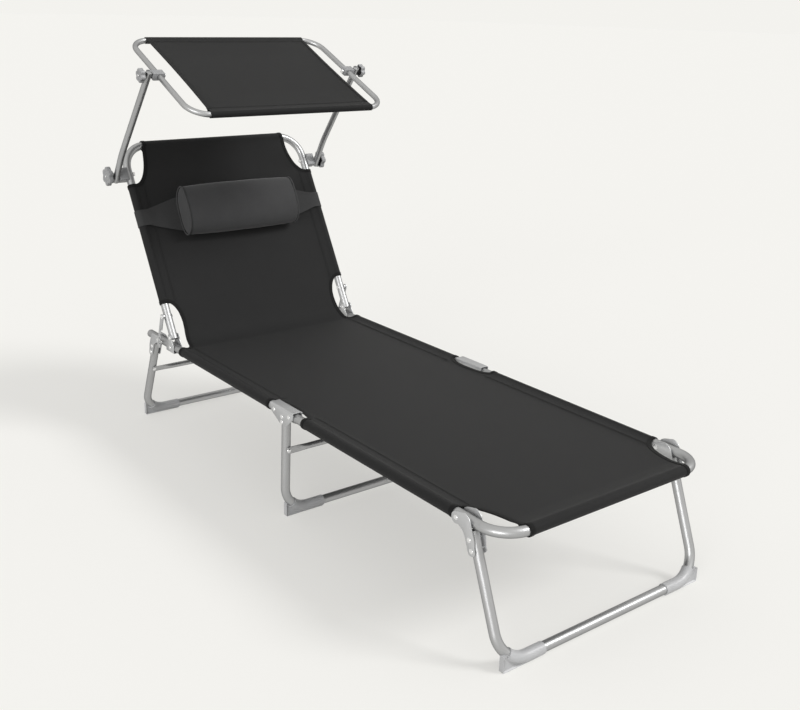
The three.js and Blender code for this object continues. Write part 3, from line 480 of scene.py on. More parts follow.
bracket_outer = tube_radius + room + plate_wall
saddle_from, saddle_to = backrest_along - saddle_half, backrest_along + saddle_half
ear = [
    (saddle_from, rail_height - bracket_outer),
    (saddle_to, rail_height - bracket_outer),
    (saddle_to, rail_height + saddle_top),
    *arc(backrest_along, backrest_height, ear_radius, -22, 202, 20),
    (saddle_from, rail_height + saddle_top),
]
for side, hand in hands:
    saddle = folded_plate(f"hinge_saddle_{hand}", ear, bracket_outer, saddle_web, saddle_fold)
    fixing = rivet("fixing", -bracket_outer, bracket_outer, backrest_along, rail_height)
    saddle = beside(join(f"hinge_saddle_{hand}", [saddle, fixing]), side)
    settle(saddle, seat_frame)
    mount(saddle, "seat", "steel_plate", f"hinge_bracket_{hand}")
    reach = bracket_outer + room
    axle = rivet(f"hinge_axle_{hand}", -reach, reach, backrest_along, backrest_height)
    settle(beside(axle, side), seat_frame)
    mount(axle, "seat", "fastener", f"hinge_pin_{hand}")


# Backrest frame: one length of the same tube bent into an arch, its feet on the hinge pins.
# Up one side, across and down the other, with the bends spun.
recline = math.radians(60.2)
backrest_reach, backrest_edge, backrest_bend = 542.0, 4.0, 66.0
back_frame = (Matrix.Translation((0, (backrest_along - frame_origin) / 1000, backrest_height / 1000))
              @ Matrix.Rotation(recline, 4, "X"))


def u_tube(name, start, end, bend):
    """A tube along one side from start to end, both (y, z), across, and back along the other side."""
    corners = [(-rail_half, *start), (-rail_half, *end), (rail_half, *end), (rail_half, *start)]
    return bent_tube(name, corners, bend, tube_radius)


arch = u_tube("backrest_tube", (-backrest_edge, 0), (backrest_reach, 0), backrest_bend)
settle(arch, back_frame, tube_steel)
mount(arch, "backrest", "steel_tube", "backrest_frame")


# Recline struts: flat steel bars that hang from the backrest and drop a hook notch over a stud on the rail.
# The outline with its four notches is drawn across and eased; rivet and spacer above, turned stud below.
strut_along = 59.9
strut_lean = math.radians(18.9)
strut_half = 7.5
strut_off = 4.6
strut_thick = 3.0
strut_tail, tip_radius = 16.0, 4.0
notch_radius = 3.9
notch_pitch = 13.0
notch_offset = 2.0
stud_radius = 3.5
low_head = 1.6
strut_top_y = backrest_along + strut_along * math.cos(recline)
strut_top_z = backrest_height + strut_along * math.sin(recline)
strut_drop = (strut_top_z - rail_height - notch_offset * math.sin(strut_lean)) / math.cos(strut_lean)
stud_along = strut_top_y - notch_offset * math.cos(strut_lean) + strut_drop * math.sin(strut_lean)
bar = arc(0, 0, strut_half, 0, 180, 20)
for i in (3, 2, 1, 0):
    z = -strut_drop + i * notch_pitch
    bar += [(-strut_half, z + notch_radius), (-notch_offset, z + notch_radius)]
    bar += arc(-notch_offset, z, notch_radius, 80, -150, 14)
    bar += [(-strut_half, z - notch_radius / 2)]
tip = tip_radius - strut_drop - strut_tail
corner = strut_half - tip_radius
bar += [(-strut_half, tip + 1), *arc(-corner, tip, tip_radius, 180, 270, 4),
        *arc(corner, tip, tip_radius, 270, 360, 4), (strut_half, tip + 1)]
strut_frame = (back_frame @ Matrix.Translation((0, strut_along / 1000, 0))
               @ Matrix.Rotation(strut_lean - recline, 4, "X"))
strut_inner = tube_radius + strut_off
wall_face = tube_radius + room
for side, hand in hands:
    hook = outline_block(f"strut_bar_{hand}", bar, strut_inner, strut_inner + strut_thick)
    settle(beside(rounded(hook, pressed_edge), 1), strut_frame, plate_steel, mirror=side < 0)
    mount(hook, f"strut_{hand}", "steel_plate", f"strut_{hand}")
    pin = rivet("pin", -wall_face, strut_inner + strut_thick + room, strut_along, 0)
    spacer = drum("spacer", (wall_face, strut_along, 0), strut_off - 2 * room, rivet_radius)
    pin = join(f"strut_pin_{hand}", [pin, finished(rounded(spacer, 0.4), bright_zinc)])
    settle(beside(pin, 1), back_frame, mirror=side < 0)
    mount(pin, "backrest", "fastener", f"strut_bolt_{hand}")
    head = dome("head", (-wall_face, stud_along, rail_height), rivet_radius, low_head, (-1, 0, 0))
    shank = drum("shank", (-wall_face, stud_along, rail_height), 2 * wall_face, shank_radius)
    nose = drum("nose", (wall_face, stud_along, rail_height), strut_off - 3 * room, stud_radius)
    stud = join(f"rail_stud_{hand}", [head, finished(shank, bright_zinc),
                                      finished(rounded(nose, 0.5), bright_zinc)])
    settle(beside(stud, 1), seat_frame, mirror=side < 0)
    mount(stud, "seat", "fastener", f"latch_stud_{hand}")


# Foot frame: the same tube bent into a long U, hinged to the middle covers.
# Made as the backrest frame is.
mid_hinge = 751.6
foot_hinge = 689.0
foot_length = 689.0
frame_edge, frame_bend = 6.0, 62.0
foot_group = Matrix.Translation((0, (foot_hinge - frame_origin) / 1000, rail_height / 1000))
foot_tube = u_tube("foot_tube", (frame_edge, 0), (-foot_length, 0), frame_bend)
settle(foot_tube, foot_group, tube_steel)
mount(foot_tube, "foot", "steel_tube", "foot_frame")


# Legs: three U-bent tubes with a grey shoe round each lower bend, whose upright web ends in a flat heel.
# The shoe's shell is a wider tube over the bend; the web is an outline drawn across and joined to it.
leg_bend = 62.0
shoe_radius = 12.5
shoe_tip = 175.0
shoe_turn = math.radians(46)
shoe_lap = 0.01
heel_half = 277.0
heel_width = 13.0
heel_rim, heel_recess = 2.6, 3.6
heel_slope = (6.2, 3.1)
shoe_grey = (0.50, 0.502, 0.506)
shoe_plastic = moulded("shoe_plastic", shoe_grey, 0.38)
front_tilt, front_offset, front_drop_at = math.radians(21.2), 25.0, 110.7
rear_tilt, rear_offset, rear_along = math.radians(24), 25.5, 1364.0
mid_tilt, mid_offset, mid_top = math.radians(2.9), 34.2, 11.0
leg_top_room = 1.5
leg_rivets = (41.3, 62.0)


def leg_length(offset, tilt):
    return (rail_height + offset * math.sin(tilt) - shoe_radius) / math.cos(tilt)


def leg_top(offset, tilt):
    below = (abs(offset) + tube_radius) * math.sin(abs(tilt)) + tube_radius + leg_top_room
    return -below / math.cos(tilt)


def shoe(name, tilt):
    """A right-hand shoe about its bar's axis, upright; the leg runs up at the tilt."""
    middle = rail_half - leg_bend
    corner = (middle + leg_bend * math.tan(shoe_turn / 2), 0, 0)
    end = (middle + leg_bend * math.sin(shoe_turn), 0, leg_bend * (1 - math.cos(shoe_turn)))
    sleeve = bent_tube("shell", [(shoe_tip, 0, 0), corner, end], leg_bend - shoe_lap, shoe_radius,
                       steps=16, bore=0.0)
    sleeve.data.transform(Matrix.Rotation(tilt, 4, "X"))
    outer = leg_bend + shoe_radius
    heel_top = leg_bend - math.sqrt(outer ** 2 - (heel_half - middle) ** 2)
    outline = [(shoe_tip + 1, -shoe_radius), (heel_half, -shoe_radius), (heel_half, heel_top),
               (heel_half - heel_slope[0], heel_top + heel_slope[1]), (middle, 0), (shoe_tip + 1, 0)]
    web = outline_block("web", outline, -heel_width / 2, heel_width / 2)
    web.data.transform(Matrix.Rotation(math.radians(-90), 4, "Z"))
    edit_all(web)
    bpy.ops.mesh.normals_make_consistent(inside=False)
    for face_side in (-1, 1):
        pick(web, "FACE",
             lambda face, co: len(face.verts) > 4 and co.y * face_side > heel_width / 2 - nearby)
        bpy.ops.mesh.inset(thickness=heel_rim)
        bpy.ops.transform.translate(value=(0, -face_side * heel_recess, 0))
    bpy.ops.object.mode_set(mode="OBJECT")
    rounded(web, 0.6, 3)
    modify(sleeve, "BOOLEAN", object=web, operation="UNION", solver="EXACT")
    bpy.data.objects.remove(web)
    edit_all(sleeve)
    bpy.ops.mesh.bisect(plane_co=(0, 0, -shoe_radius), plane_no=(0, 0, -1), clear_outer=True, use_fill=True)
    bpy.ops.object.mode_set(mode="OBJECT")
    sleeve.name = name
    return sleeve


def add_leg(name, group, offset, tilt, top):
    """offset and top lie in the leg's own tilted frame, whose pivot is the group's origin."""
    length = leg_length(offset, tilt)
    leg = u_tube(f"{name}_u_tube", (offset, top), (offset, -length), leg_bend)
    settle(leg, group, tube_steel)
    mount(leg, name, "steel_tube", f"{name}_tube")
    upright = (group @ Matrix.Translation((0, offset / 1000, -length / 1000))
               @ Matrix.Rotation(-tilt, 4, "X"))
    for side, hand in hands:
        heel = settle(shoe(f"{name}_heel_{hand}", tilt), upright, shoe_plastic, mirror=side < 0)
        mount(heel, name, "grey_plastic", f"{name}_shoe_{hand}")


front_group = (foot_group @ Matrix.Translation((0, (front_drop_at - foot_length) / 1000, 0))
               @ Matrix.Rotation(-front_tilt, 4, "X"))
rear_group = (Matrix.Translation((0, (rear_along - frame_origin) / 1000, rail_height / 1000))
              @ Matrix.Rotation(rear_tilt, 4, "X"))
mid_group = Matrix.Translation((0, (mid_hinge - frame_origin) / 1000, rail_height / 1000))
mid_lean = mid_group @ Matrix.Translation((0, -mid_offset / 1000, 0)) @ Matrix.Rotation(mid_tilt, 4, "X")
add_leg("front_leg", front_group, -front_offset, -front_tilt, leg_top(-front_offset, -front_tilt))
add_leg("rear_leg", rear_group, rear_offset, rear_tilt, leg_top(rear_offset, rear_tilt))
add_leg("mid_leg", mid_lean, 0.0, mid_tilt, mid_top)


# Leg brackets: a pair of pressed plates beside each rail, round at the pivot, with a band down the leg.
# Each plate is its outline drawn to 1.8 mm and eased; three domed rivets go through both.
pivot_end, band_end = 12.0, 10.5
front_gap, rear_gap = 2.8, 0.4
front_shoulders = ((0.25, 1), (1.2, 0.75), (1.56, -0.3), (1.56, -3.6), (1.35, -5.2))
rear_shoulders = ((0.25, 0.95), (0.75, 0.42), (1.2, 0.05), (1.5, -0.5), (1.56, -3.6), (1.35, -5.2))
waist_places = ((9.8, 0.62), (10.92, 0.42))
short_side, corner_cut = 3.0, 2.5


def softened(points, share=0.28):
    """Each corner of a closed outline cut back twice, as a press tool leaves it."""
    for _ in range(2):
        ring = []
        for here, ahead in zip(points, points[1:] + points[:1]):
            gap = math.dist(here, ahead)
            back = min(share, corner_cut / max(gap, 0.001))
            for t in ((back, 1 - back) if gap > short_side else (0.5,)):
                ring.append((here[0] + (ahead[0] - here[0]) * t, here[1] + (ahead[1] - here[1]) * t))
        points = ring
    return points


def leg_bracket(name, offset, gap, side, shoulders):
    inner = tube_radius + gap
    outer = inner + plate_wall
    toward = 1 if offset > 0 else -1
    size = abs(offset)
    drop = leg_rivets[1]
    ring = [*arc(0, 0, pivot_end, -75.6, -255.6, 14), *((size * a, pivot_end * up) for a, up in shoulders),
            *arc(size, -drop, band_end, -18, -171, 12),
            *((size - a, -drop * down) for a, down in waist_places)]
    ring = softened([(toward * y, z) for y, z in ring])
    parts = [finished(rounded(outline_block("plate", ring, x, x + plate_wall), pressed_edge), plate_steel)
             for x in (inner, -outer)]
    parts.append(rivet("pivot", -outer, outer, 0, 0))
    parts += [rivet("band", -outer, outer, offset, -d) for d in leg_rivets]
    return beside(join(name, parts), side)


for prefix, group, offset, gap, shoulders in (
        ("front_leg", front_group, -front_offset, front_gap, front_shoulders),
        ("rear_leg", rear_group, rear_offset, rear_gap, rear_shoulders)):
    for side, hand in hands:
        plates = leg_bracket(f"{prefix}_plates_{hand}", offset, gap, side, shoulders)
        settle(plates, group)
        mount(plates, prefix, "steel_plate", f"{prefix}_bracket_{hand}")


# Middle hinge covers: one folded sheet over each rail joint, with soft folds and four rivets.
# Made as the backrest's hinge brackets are, from an outline with its corners softened.
cover_top = 14.8
cover_outline = [(16.4, cover_top), (-81.6, cover_top), (-79.8, -1.8), (-55.2, -23.7), (-25.8, -25.5),
                 (12.8, -5.25)]
cover_half = tube_radius + 0.5 + plate_wall
cover_fold = 4.0
mid_rivets = (7.8, 20.5)
for side, hand in hands:
    cover = folded_plate(f"hinge_cover_{hand}", softened(cover_outline, 0.2), cover_half,
                         lambda face, co: co.z > cover_top - room, cover_fold)
    places = [(0, 0), (foot_hinge - mid_hinge, 0)]
    places += [(-mid_offset + d * math.sin(mid_tilt), -d * math.cos(mid_tilt)) for d in mid_rivets]
    parts = [rivet("pin", -cover_half, cover_half, y, z) for y, z in places]
    cover = beside(join(f"hinge_cover_{hand}", [cover, *parts]), side)
    settle(cover, mid_group)
    mount(cover, "mid_leg", "steel_plate", f"mid_bracket_{hand}")


# Crossbars: thinner tube pressed flat at the ends, each end riveted to the foot-side face of a leg.
# A ring is drawn out and scaled from station to station, from one flat end to the other.
crossbar_radius = 7.0
lug_half_height, lug_half_thick = 9.0, 1.5
lug_reach = 282.0
lug_head = 5.2
lug_shape = ((281.2, 1.2, 6.8), (279, 1.5, 8.0), (275.5, lug_half_thick, lug_half_height),
             (258, lug_half_thick, lug_half_height), (252, 1.9, 8.9), (246, 3.2, 8.5), (240, 4.9, 7.8),
             (234, 6.2, 7.3), (226, crossbar_radius, crossbar_radius))


def crossbar(name, offset, drop, head_height):
    """Each station of lug_shape is (half length, half thickness, half height)."""
    face = offset - tube_radius - room
    back = offset + tube_radius + room
    middle = face - lug_half_thick
    alone(None)
    bpy.ops.mesh.primitive_circle_add(vertices=tube_sides, radius=1, location=(-lug_reach, middle, -drop),
                                      rotation=(0, math.pi / 2, 0), fill_type="NGON")
    pipe = bpy.context.object
    bpy.ops.object.transform_apply()
    edit_all(pipe)
    x, wide, tall = -lug_reach, lug_half_thick * 0.5, lug_half_height * 0.55
    bpy.ops.transform.resize(value=(1, wide, tall), center_override=(x, middle, -drop))
    stations = [(-s, a, b) for s, a, b in lug_shape] + [*reversed(lug_shape), (lug_reach, wide, tall)]
    for station, thick, high in stations:
        bpy.ops.mesh.extrude_region_move(TRANSFORM_OT_translate={"value": (station - x, 0, 0)})
        bpy.ops.transform.resize(value=(1, thick / wide, high / tall),
                                 center_override=(station, middle, -drop))
        x, wide, tall = station, thick, high
    bpy.ops.mesh.select_all(action="SELECT")
    bpy.ops.mesh.normals_make_consistent(inside=False)
    bpy.ops.object.mode_set(mode="OBJECT")
    parts = [finished(pipe, tube_steel)]
    for side in (-1, 1):
        x = side * rail_half
        shank = drum("shank", (x, face - 2, -drop), back - face + 2.5, shank_radius, (0, 1, 0), 20)
        parts += [dome("head", (x, face - 2 * lug_half_thick, -drop), lug_head, head_height, (0, -1, 0)),
                  dome("tail", (x, back, -drop), lug_head, low_head, (0, 1, 0)),
                  finished(shank, bright_zinc)]
    return join(name, parts)


for body, node, group, offset, drop, head_height in (
        ("mid_leg", "mid_crossbar", mid_lean, 0.0, 90.5, 2.2),
        ("rear_leg", "rear_crossbar", rear_group, rear_offset, 118.0, 0.7)):
    pipe = settle(crossbar(f"{body}_spreader", offset, drop, head_height), group)
    mount(pipe, body, "steel_tube", node)


# Canopy arms: 16 mm tube with an offset foot; a solid end piece there takes the lower bolt.
# The tube is drawn out with one slow bend, and the end piece, an outline drawn across, is joined to it.
arm_along = 462.0
arm_length = 353.5
arm_turn = math.radians(68.9)
arm_radius = 8.2
arm_foot_half, arm_top_half = 318.0, 308.0
arm_end, arm_jog = 11.0, 11.0
arm_jog_end, arm_bend = 80.0, 240.0
tongue_half = arm_radius * 0.8
arms_frame = back_frame @ Matrix.Translation((0, arm_along / 1000, 0)) @ Matrix.Rotation(arm_turn, 4, "X")


def arm_at(y):
    return (arm_foot_half + (arm_top_half - arm_foot_half) * y / arm_length, y, 0)


for side, hand in hands:
    corners = [(arm_foot_half, -arm_end, arm_jog), arm_at(arm_jog_end), arm_at(arm_length + arm_end)]
    tube = bent_tube("tube", corners, arm_bend, arm_radius, sides=28, steps=40, bore=3.0)
    tongue = [(arm_radius, arm_jog), *arc(0, 0, arm_radius, 0, -180, 18), (-arm_radius, arm_jog)]
    end = outline_block("end", tongue, arm_foot_half - tongue_half, arm_foot_half + tongue_half)
    modify(tube, "BOOLEAN", object=rounded(end, 1.2, 3), operation="UNION", solver="EXACT")
    bpy.data.objects.remove(end)
    tube.name = f"arm_tube_{hand}"
    settle(tube, arms_frame, tube_steel, mirror=side < 0)
    mount(tube, "arms", "steel_tube", f"arm_{hand}")


# Clamp blocks and canopy clamps: moulded grey blocks that hug a tube and stand the arm off from it.
# Each is the CAD block's own shape, merged, with its edges eased.
block_ease, clamp_ease = 3.0, 2.8
block_grey = (0.30, 0.302, 0.306)
block_plastic = moulded("block_plastic", block_grey, 0.42)


def eased_copy(name, node, width):
    """A node's own shape, which is in metres, as a new piece: merged, flats cleaned, edges eased."""
    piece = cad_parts[node].copy()
    piece.data = piece.data.copy()
    piece.name = name
    piece.parent = None
    piece.matrix_world = Matrix.Identity(4)
    for key in list(piece.keys()):
        del piece[key]
    bpy.context.scene.collection.objects.link(piece)
    edit_all(piece)
    bpy.ops.mesh.remove_doubles(threshold=0.00001)
    bpy.ops.mesh.dissolve_limited(angle_limit=math.radians(1))
    bpy.ops.object.mode_set(mode="OBJECT")
    rounded(piece, width / 1000, 3, 35)
    bpy.ops.object.shade_smooth_by_angle(angle=math.radians(40))
    return piece


for stem, body, ease in (("clamp_block", "backrest", block_ease), ("canopy_clamp", "canopy", clamp_ease)):
    for hand in ("left", "right"):
        block = eased_copy(f"{stem}_body_{hand}", f"{stem}_{hand}", ease)
        block.data.materials.clear()
        finished(block, block_plastic)
        mount(block, body, "grey_plastic", f"{stem}_{hand}")


# Star knobs: six-lobed hand nuts, mid grey outside, hollow and ribbed on the inner side, on a round boss.
# The star is an outline drawn across; its face is domed and its back pushed in, ribs and boss are added.
knob_thick = 12.5
knob_edge = 1.6
boss_height = 4.0
lobes, lobe_steps, lobe_depth = 6, 16, 0.2
hub_share, boss_share, hollow_share = 0.62, 0.31, 0.72
rib_half, rib_back = 0.7, 1.2
rib_shares = (0.26, 0.74)
knob_face = ((0.985, 0.75), (0.945, 0.60), (0.895, 0.25), (0.80, 0.0), (0.64, -0.5), (0.56, -1.4),
             (0.36, -0.2))
knob_back = ((0.985, -0.75), (0.945, -0.60), (0.90, -0.25), (0.86, 0.3), (0.84, 7.0))
knob_grey = (0.33, 0.332, 0.336)
# Painted shade: the hollow inner side, its ribs and the boss take a near-black copy of the knob's grey
# plastic.
knob_painted_shade_colour = (0.035, 0.035, 0.037)
knob_plastic = moulded("knob_plastic", knob_grey, 0.40)
knob_painted_shade = moulded("knob_painted_shade", knob_painted_shade_colour, 0.5)
lower_knob_radius, upper_knob_radius = 25.5, 17.5


def knob(name, start, radius):
    """start is the face the boss clamps against; the grip's face lies outboard."""
    ring = []
    for i in range(lobes * lobe_steps):
        turn = 2 * math.pi * i / (lobes * lobe_steps)
        wave = (1 - math.cos(lobes * turn)) / 2
        reach = radius * (1 - lobe_depth * wave ** 1.4)
        ring.append((reach * math.cos(turn), reach * math.sin(turn)))
    x0 = start + boss_height
    x1 = x0 + knob_thick
    hub = knob_thick * hub_share
    star = outline_block(name, ring, x0 + knob_edge, x1 - knob_edge)
    bpy.ops.object.mode_set(mode="EDIT")
    for mouth, profile in ((x1 - knob_edge, knob_face), (x0 + knob_edge, knob_back)):
        pick(star, "FACE", lambda face, co: len(face.verts) > 8 and abs(co.x - mouth) < nearby)
        size = 1.0
        for share, rise in profile:
            bpy.ops.mesh.extrude_region_move(TRANSFORM_OT_translate={"value": (rise, 0, 0)})
            mouth += rise
            bpy.ops.transform.resize(value=(1, share / size, share / size), center_override=(mouth, 0, 0))
            size = share
    bpy.ops.mesh.select_all(action="SELECT")
    bpy.ops.mesh.normals_make_consistent(inside=False)
    bpy.ops.object.mode_set(mode="OBJECT")
    finished(star, knob_plastic)
    finished(star, knob_painted_shade)
    # Faces in the hollow get the painted shade.
    for face in star.data.polygons:
        out_from_axis = math.hypot(face.center.y, face.center.z)
        if face.center.x < x0 + hub and out_from_axis < radius * hollow_share:
            face.material_index = 1
    boss = rounded(drum("boss", (start, 0, 0), boss_height + hub, radius * boss_share), 0.6)
    parts = [star, finished(boss, knob_painted_shade)]
    near, far = (radius * share for share in rib_shares)
    for i in range(lobes):
        rib = outline_block("rib", [(near, -rib_half), (far, -rib_half), (far, rib_half), (near, rib_half)],
                            x0 + rib_back, x0 + hub)
        rib.data.transform(Matrix.Rotation(2 * math.pi * (i + 0.5) / lobes, 4, "X"))
        parts.append(finished(rib, knob_painted_shade))
    return join(name, parts)


canopy_slope = math.radians(24.4)
knob_turn = math.radians(30)
canopy_group = (arms_frame @ Matrix.Translation((0, arm_length / 1000, 0))
                @ Matrix.Rotation(canopy_slope - recline - arm_turn, 4, "X"))
for side, hand in hands:
    rest_turn = Matrix.Rotation(knob_turn if side < 0 else 0, 4, "X")
    low_group = back_frame @ Matrix.Translation((0, arm_along / 1000, 0)) @ rest_turn
    for stem, start, radius, group in (
            ("lower_knob", arm_foot_half + arm_radius + room, lower_knob_radius, low_group),
            ("upper_knob", arm_top_half + arm_radius + room, upper_knob_radius, canopy_group)):
        star = settle(knob(f"{stem}_star_{hand}", start, radius), group, mirror=side < 0)
        mount(star, f"{stem}_{hand}", "knob_plastic", f"{stem}_{hand}")


# Arm and canopy bolts: plated hex bolts from inside the tube out through the block, the arm and the knob.
# A six-sided head and a round shank, each with its edges eased.
bolt_head_radius, bolt_head_height = 6.0, 4.5
bolt_past = 1.8
clamp_inner = 268.0


def hex_bolt(name, face, end, y):
    head = drum("head", (face - bolt_head_height, y, 0), bolt_head_height, bolt_head_radius, sides=6)
    shank = drum("shank", (face - 1, y, 0), end - face + 1, shank_radius, sides=20)
    return join(name, [finished(rounded(head, 0.6), bright_zinc),
                       finished(rounded(shank, 0.8, 3), bright_zinc)])


for side, hand in hands:
    for stem, body, node, group, face, half, y in (
            ("arm_hex", "backrest", "arm_bolt", back_frame, rail_half - tube_radius - room, arm_foot_half,
             arm_along),
            ("canopy_hex", "canopy", "canopy_bolt", canopy_group, clamp_inner - room, arm_top_half, 0.0)):
        end = half + arm_radius + room + boss_height + knob_thick + bolt_past
        bolt = settle(hex_bolt(f"{stem}_{hand}", face, end, y), group, mirror=side < 0)
        mount(bolt, body, "fastener", f"{node}_{hand}")


# Canopy frame: 14 mm tube bent into a closed ring, its two ends meeting inside the far sleeve.
# Drawn out and spun from one end round to the other.
canopy_radius, canopy_bend = 7.0, 54.0
canopy_half, canopy_near, canopy_far = 281.5, 196.0, 181.8
ring_end = 0.15
half_ring = [(ring_end, canopy_far, 0), (canopy_half, canopy_far, 0), (canopy_half, -canopy_near, 0)]
ring_corners = half_ring + [(-x, y, z) for x, y, z in reversed(half_ring)]
ring_tube = bent_tube("canopy_ring", ring_corners, canopy_bend, canopy_radius, sides=28, bore=3.0)
settle(ring_tube, canopy_group, tube_steel)
mount(ring_tube, "canopy", "steel_tube", "canopy_frame")


# Main cloth: charcoal woven polyester stretched over the three frames, with a sleeve sewn round each rail and
# end bar and black tape bound over every cut edge. It is one length of cloth, made here as three pieces
# that meet at the middle of the seat and at the middle hinges; the back piece is laid round the fold.
cloth_rise = 8.0
cloth_flat = 4.29
hem_step, hem_ease = 1.0, 3.0
hem_wide = 31.0
cloth_thick = 1.0
sleeve_radius = 11.6
lift_from = 273.04
lift_height = 5.2
lift_length = 11.0
lift_shared = 0.35
sag_depth, sag_length = 1.5, 120.0
sleeve_start, sleeve_sweep = 115.3, 243.7
bar_lift = 4.96
hem_inner = 250.0
bar_sleeve_half = 221.0
bar_hem = (28.0, 34.0)
sleeve_pitch, sleeve_round = 2.05, 50.0
hem_under = 1.15
charcoal = (0.0130, 0.0130, 0.0132)
tape_black = (0.0022, 0.0022, 0.0023)
far_off = 1e3


def woven(name, colour, pitch, depth):
    """Plain weave on the cloth's own length and width, in metres: threads over and under, slubs, sheen."""
    cloth = Finish(bpy.data.materials.new(name))
    spot = cloth.node("ShaderNodeUVMap", {"uv_map": "cloth"}, {})
    flat = cloth.node("ShaderNodeSeparateXYZ", {}, {"Vector": spot})
    across = flat.output("X") * (math.pi / pitch)
    along = flat.output("Y") * (math.pi / pitch)
    weft_wave = flat.math("SINE", across)
    warp_wave = flat.math("SINE", along)
    over = weft_wave * warp_wave > 0.0
    height = over * flat.math("ABSOLUTE", weft_wave) + (1 - over) * flat.math("ABSOLUTE", warp_wave)
    drawn = cloth.node("ShaderNodeMapping", {}, {"Vector": spot, "Scale": (1, 0.06, 1)})
    slub = cloth.grain(drawn, 900)
    cloud = cloth.grain(spot, 11, 4, 0.55)
    fuzz = cloth.grain(spot, 2600, 1)
    tone = height * 0.35 + slub * 0.35 + cloud * 0.4 - 0.05
    return cloth.dress({
        "Base Color": cloth.blend(tone, toned(colour, 0.72), toned(colour, 1.30)),
        "Roughness": cloth.span(fuzz, 0.66, 0.80),
        "Specular IOR Level": 0.22,
        "Sheen Weight": 0.05,
        "Sheen Roughness": 0.4,
        "Normal": cloth.bump(height + slub * 0.5, depth),
    })


main_cloth = woven("main_cloth", charcoal, 0.0011, 0.00012)
bound_tape = woven("bound_tape", tape_black, 0.0007, 0.00008)


class Cutter:
    """Gathers one cloth piece's surfaces as grids of points with their flat length and width."""

    def __init__(self):
        self.points, self.faces, self.flat, self.kind = [], [], [], []

    def grid(self, rows, flats, kind=0):
        base = len(self.points)
        width = len(rows[0])
        for row, flat in zip(rows, flats):
            self.points += [Vector(p) for p in row]
            self.flat += list(flat)
        for i in range(len(rows) - 1):
            for k in range(width - 1):
                a = base + i * width + k
                self.faces.append((a, a + 1, a + width + 1, a + width))
                self.kind.append(kind)

    def sewn(self, path, up, step=4.0, long=2.9, thick=0.35):
        """A row of stitches along a path of points; each is a small spindle proud of the cloth."""
        path = [Vector(p) for p in path]
        carried = 0.0
        for a, b, rise in zip(path, path[1:], up):
            run = (b - a).length
            if run < 1e-6:
                continue
            ahead = (b - a) / run
            rise = Vector(rise).normalized()
            beside_it = ahead.cross(rise)
            while carried + long < run + step * 0.5:
                start = a + ahead * carried
                middle = start + ahead * long / 2
                base = len(self.points)
                self.points += [start - rise * 0.15, middle + beside_it * thick, middle + rise * thick,
                                middle - beside_it * thick, start + ahead * long - rise * 0.15]
                self.flat += [(0, 0)] * 5
                for tri in ((0, 1, 2), (0, 2, 3), (4, 2, 1), (4, 3, 2), (0, 3, 1), (4, 1, 3)):
                    self.faces.append(tuple(base + t for t in tri))
                    self.kind.append(2)
                carried += step
            carried -= run

    def piece(self, name, materials, body_frame, thick=cloth_thick):
        """The surfaces as one piece, merged, its wall grown both ways from the middle, and settled."""
        mesh = bpy.data.meshes.new(name)
        mesh.from_pydata(self.points, [], self.faces)
        layer = mesh.uv_layers.new(name="cloth")
        for loop in mesh.loops:
            layer.data[loop.index].uv = [c / 1000 for c in self.flat[loop.vertex_index]]
        for face, kind in zip(mesh.polygons, self.kind):
            face.material_index = kind
        piece = bpy.data.objects.new(name, mesh)
        bpy.context.scene.collection.objects.link(piece)
        for material in materials:
            finished(piece, material)
        edit_all(piece)
        bpy.ops.mesh.remove_doubles(threshold=0.02)
        bpy.ops.object.mode_set(mode="OBJECT")
        modify(piece, "SOLIDIFY", thickness=thick, offset=0, use_rim=True)
        return settle(piece, body_frame, smooth=50)


def cut_out(neck, start, end, steps=18):
    """Half a cut-out's edge as (along, half width): from the neck at one place out to the sleeve."""
    turns = [math.pi / 2 * i / steps for i in range(steps + 1)]
    return [(start + (end - start) * math.sin(t), neck + (lift_from - neck) * (1 - math.cos(t)))
            for t in turns]


def even(start, end, width, step=14.0):
    """Rows of one width, evenly spaced between two places but not on them."""
    count = max(1, round(abs(end - start) / step))
    return [(start + (end - start) * i / count, width) for i in range(1, count)]


def sleeve_arc(steps):
    return [math.radians(sleeve_start - i * (sleeve_sweep / steps)) for i in range(steps + 1)]


shares = np.sin(np.linspace(-math.pi / 2, math.pi / 2, 57))
sleeve_turns, bar_turns = sleeve_arc(26), sleeve_arc(23)


def surface_height(x, bar_gap):
    """How high the cloth lies over the tubes' axes: taut, slack at the middle, rising to each tube."""
    inboard = min(rail_half - abs(x), bar_gap)
    doubled = hem_step * min(1.0, max(0.0, (hem_wide + hem_ease - inboard) / hem_ease))
    at_rail = lift_height * math.exp(min(0.0, (abs(x) - lift_from) / lift_length))
    at_bar = lift_height * math.exp(-max(0.0, bar_gap - bar_lift) / lift_length)
    slack = sag_depth * (1 - (x / lift_from) ** 2) * min(1.0, bar_gap / sag_length)
    return cloth_flat + doubled + max(at_rail, at_bar) + lift_shared * min(at_rail, at_bar) - slack


def no_bar(along):
    return far_off


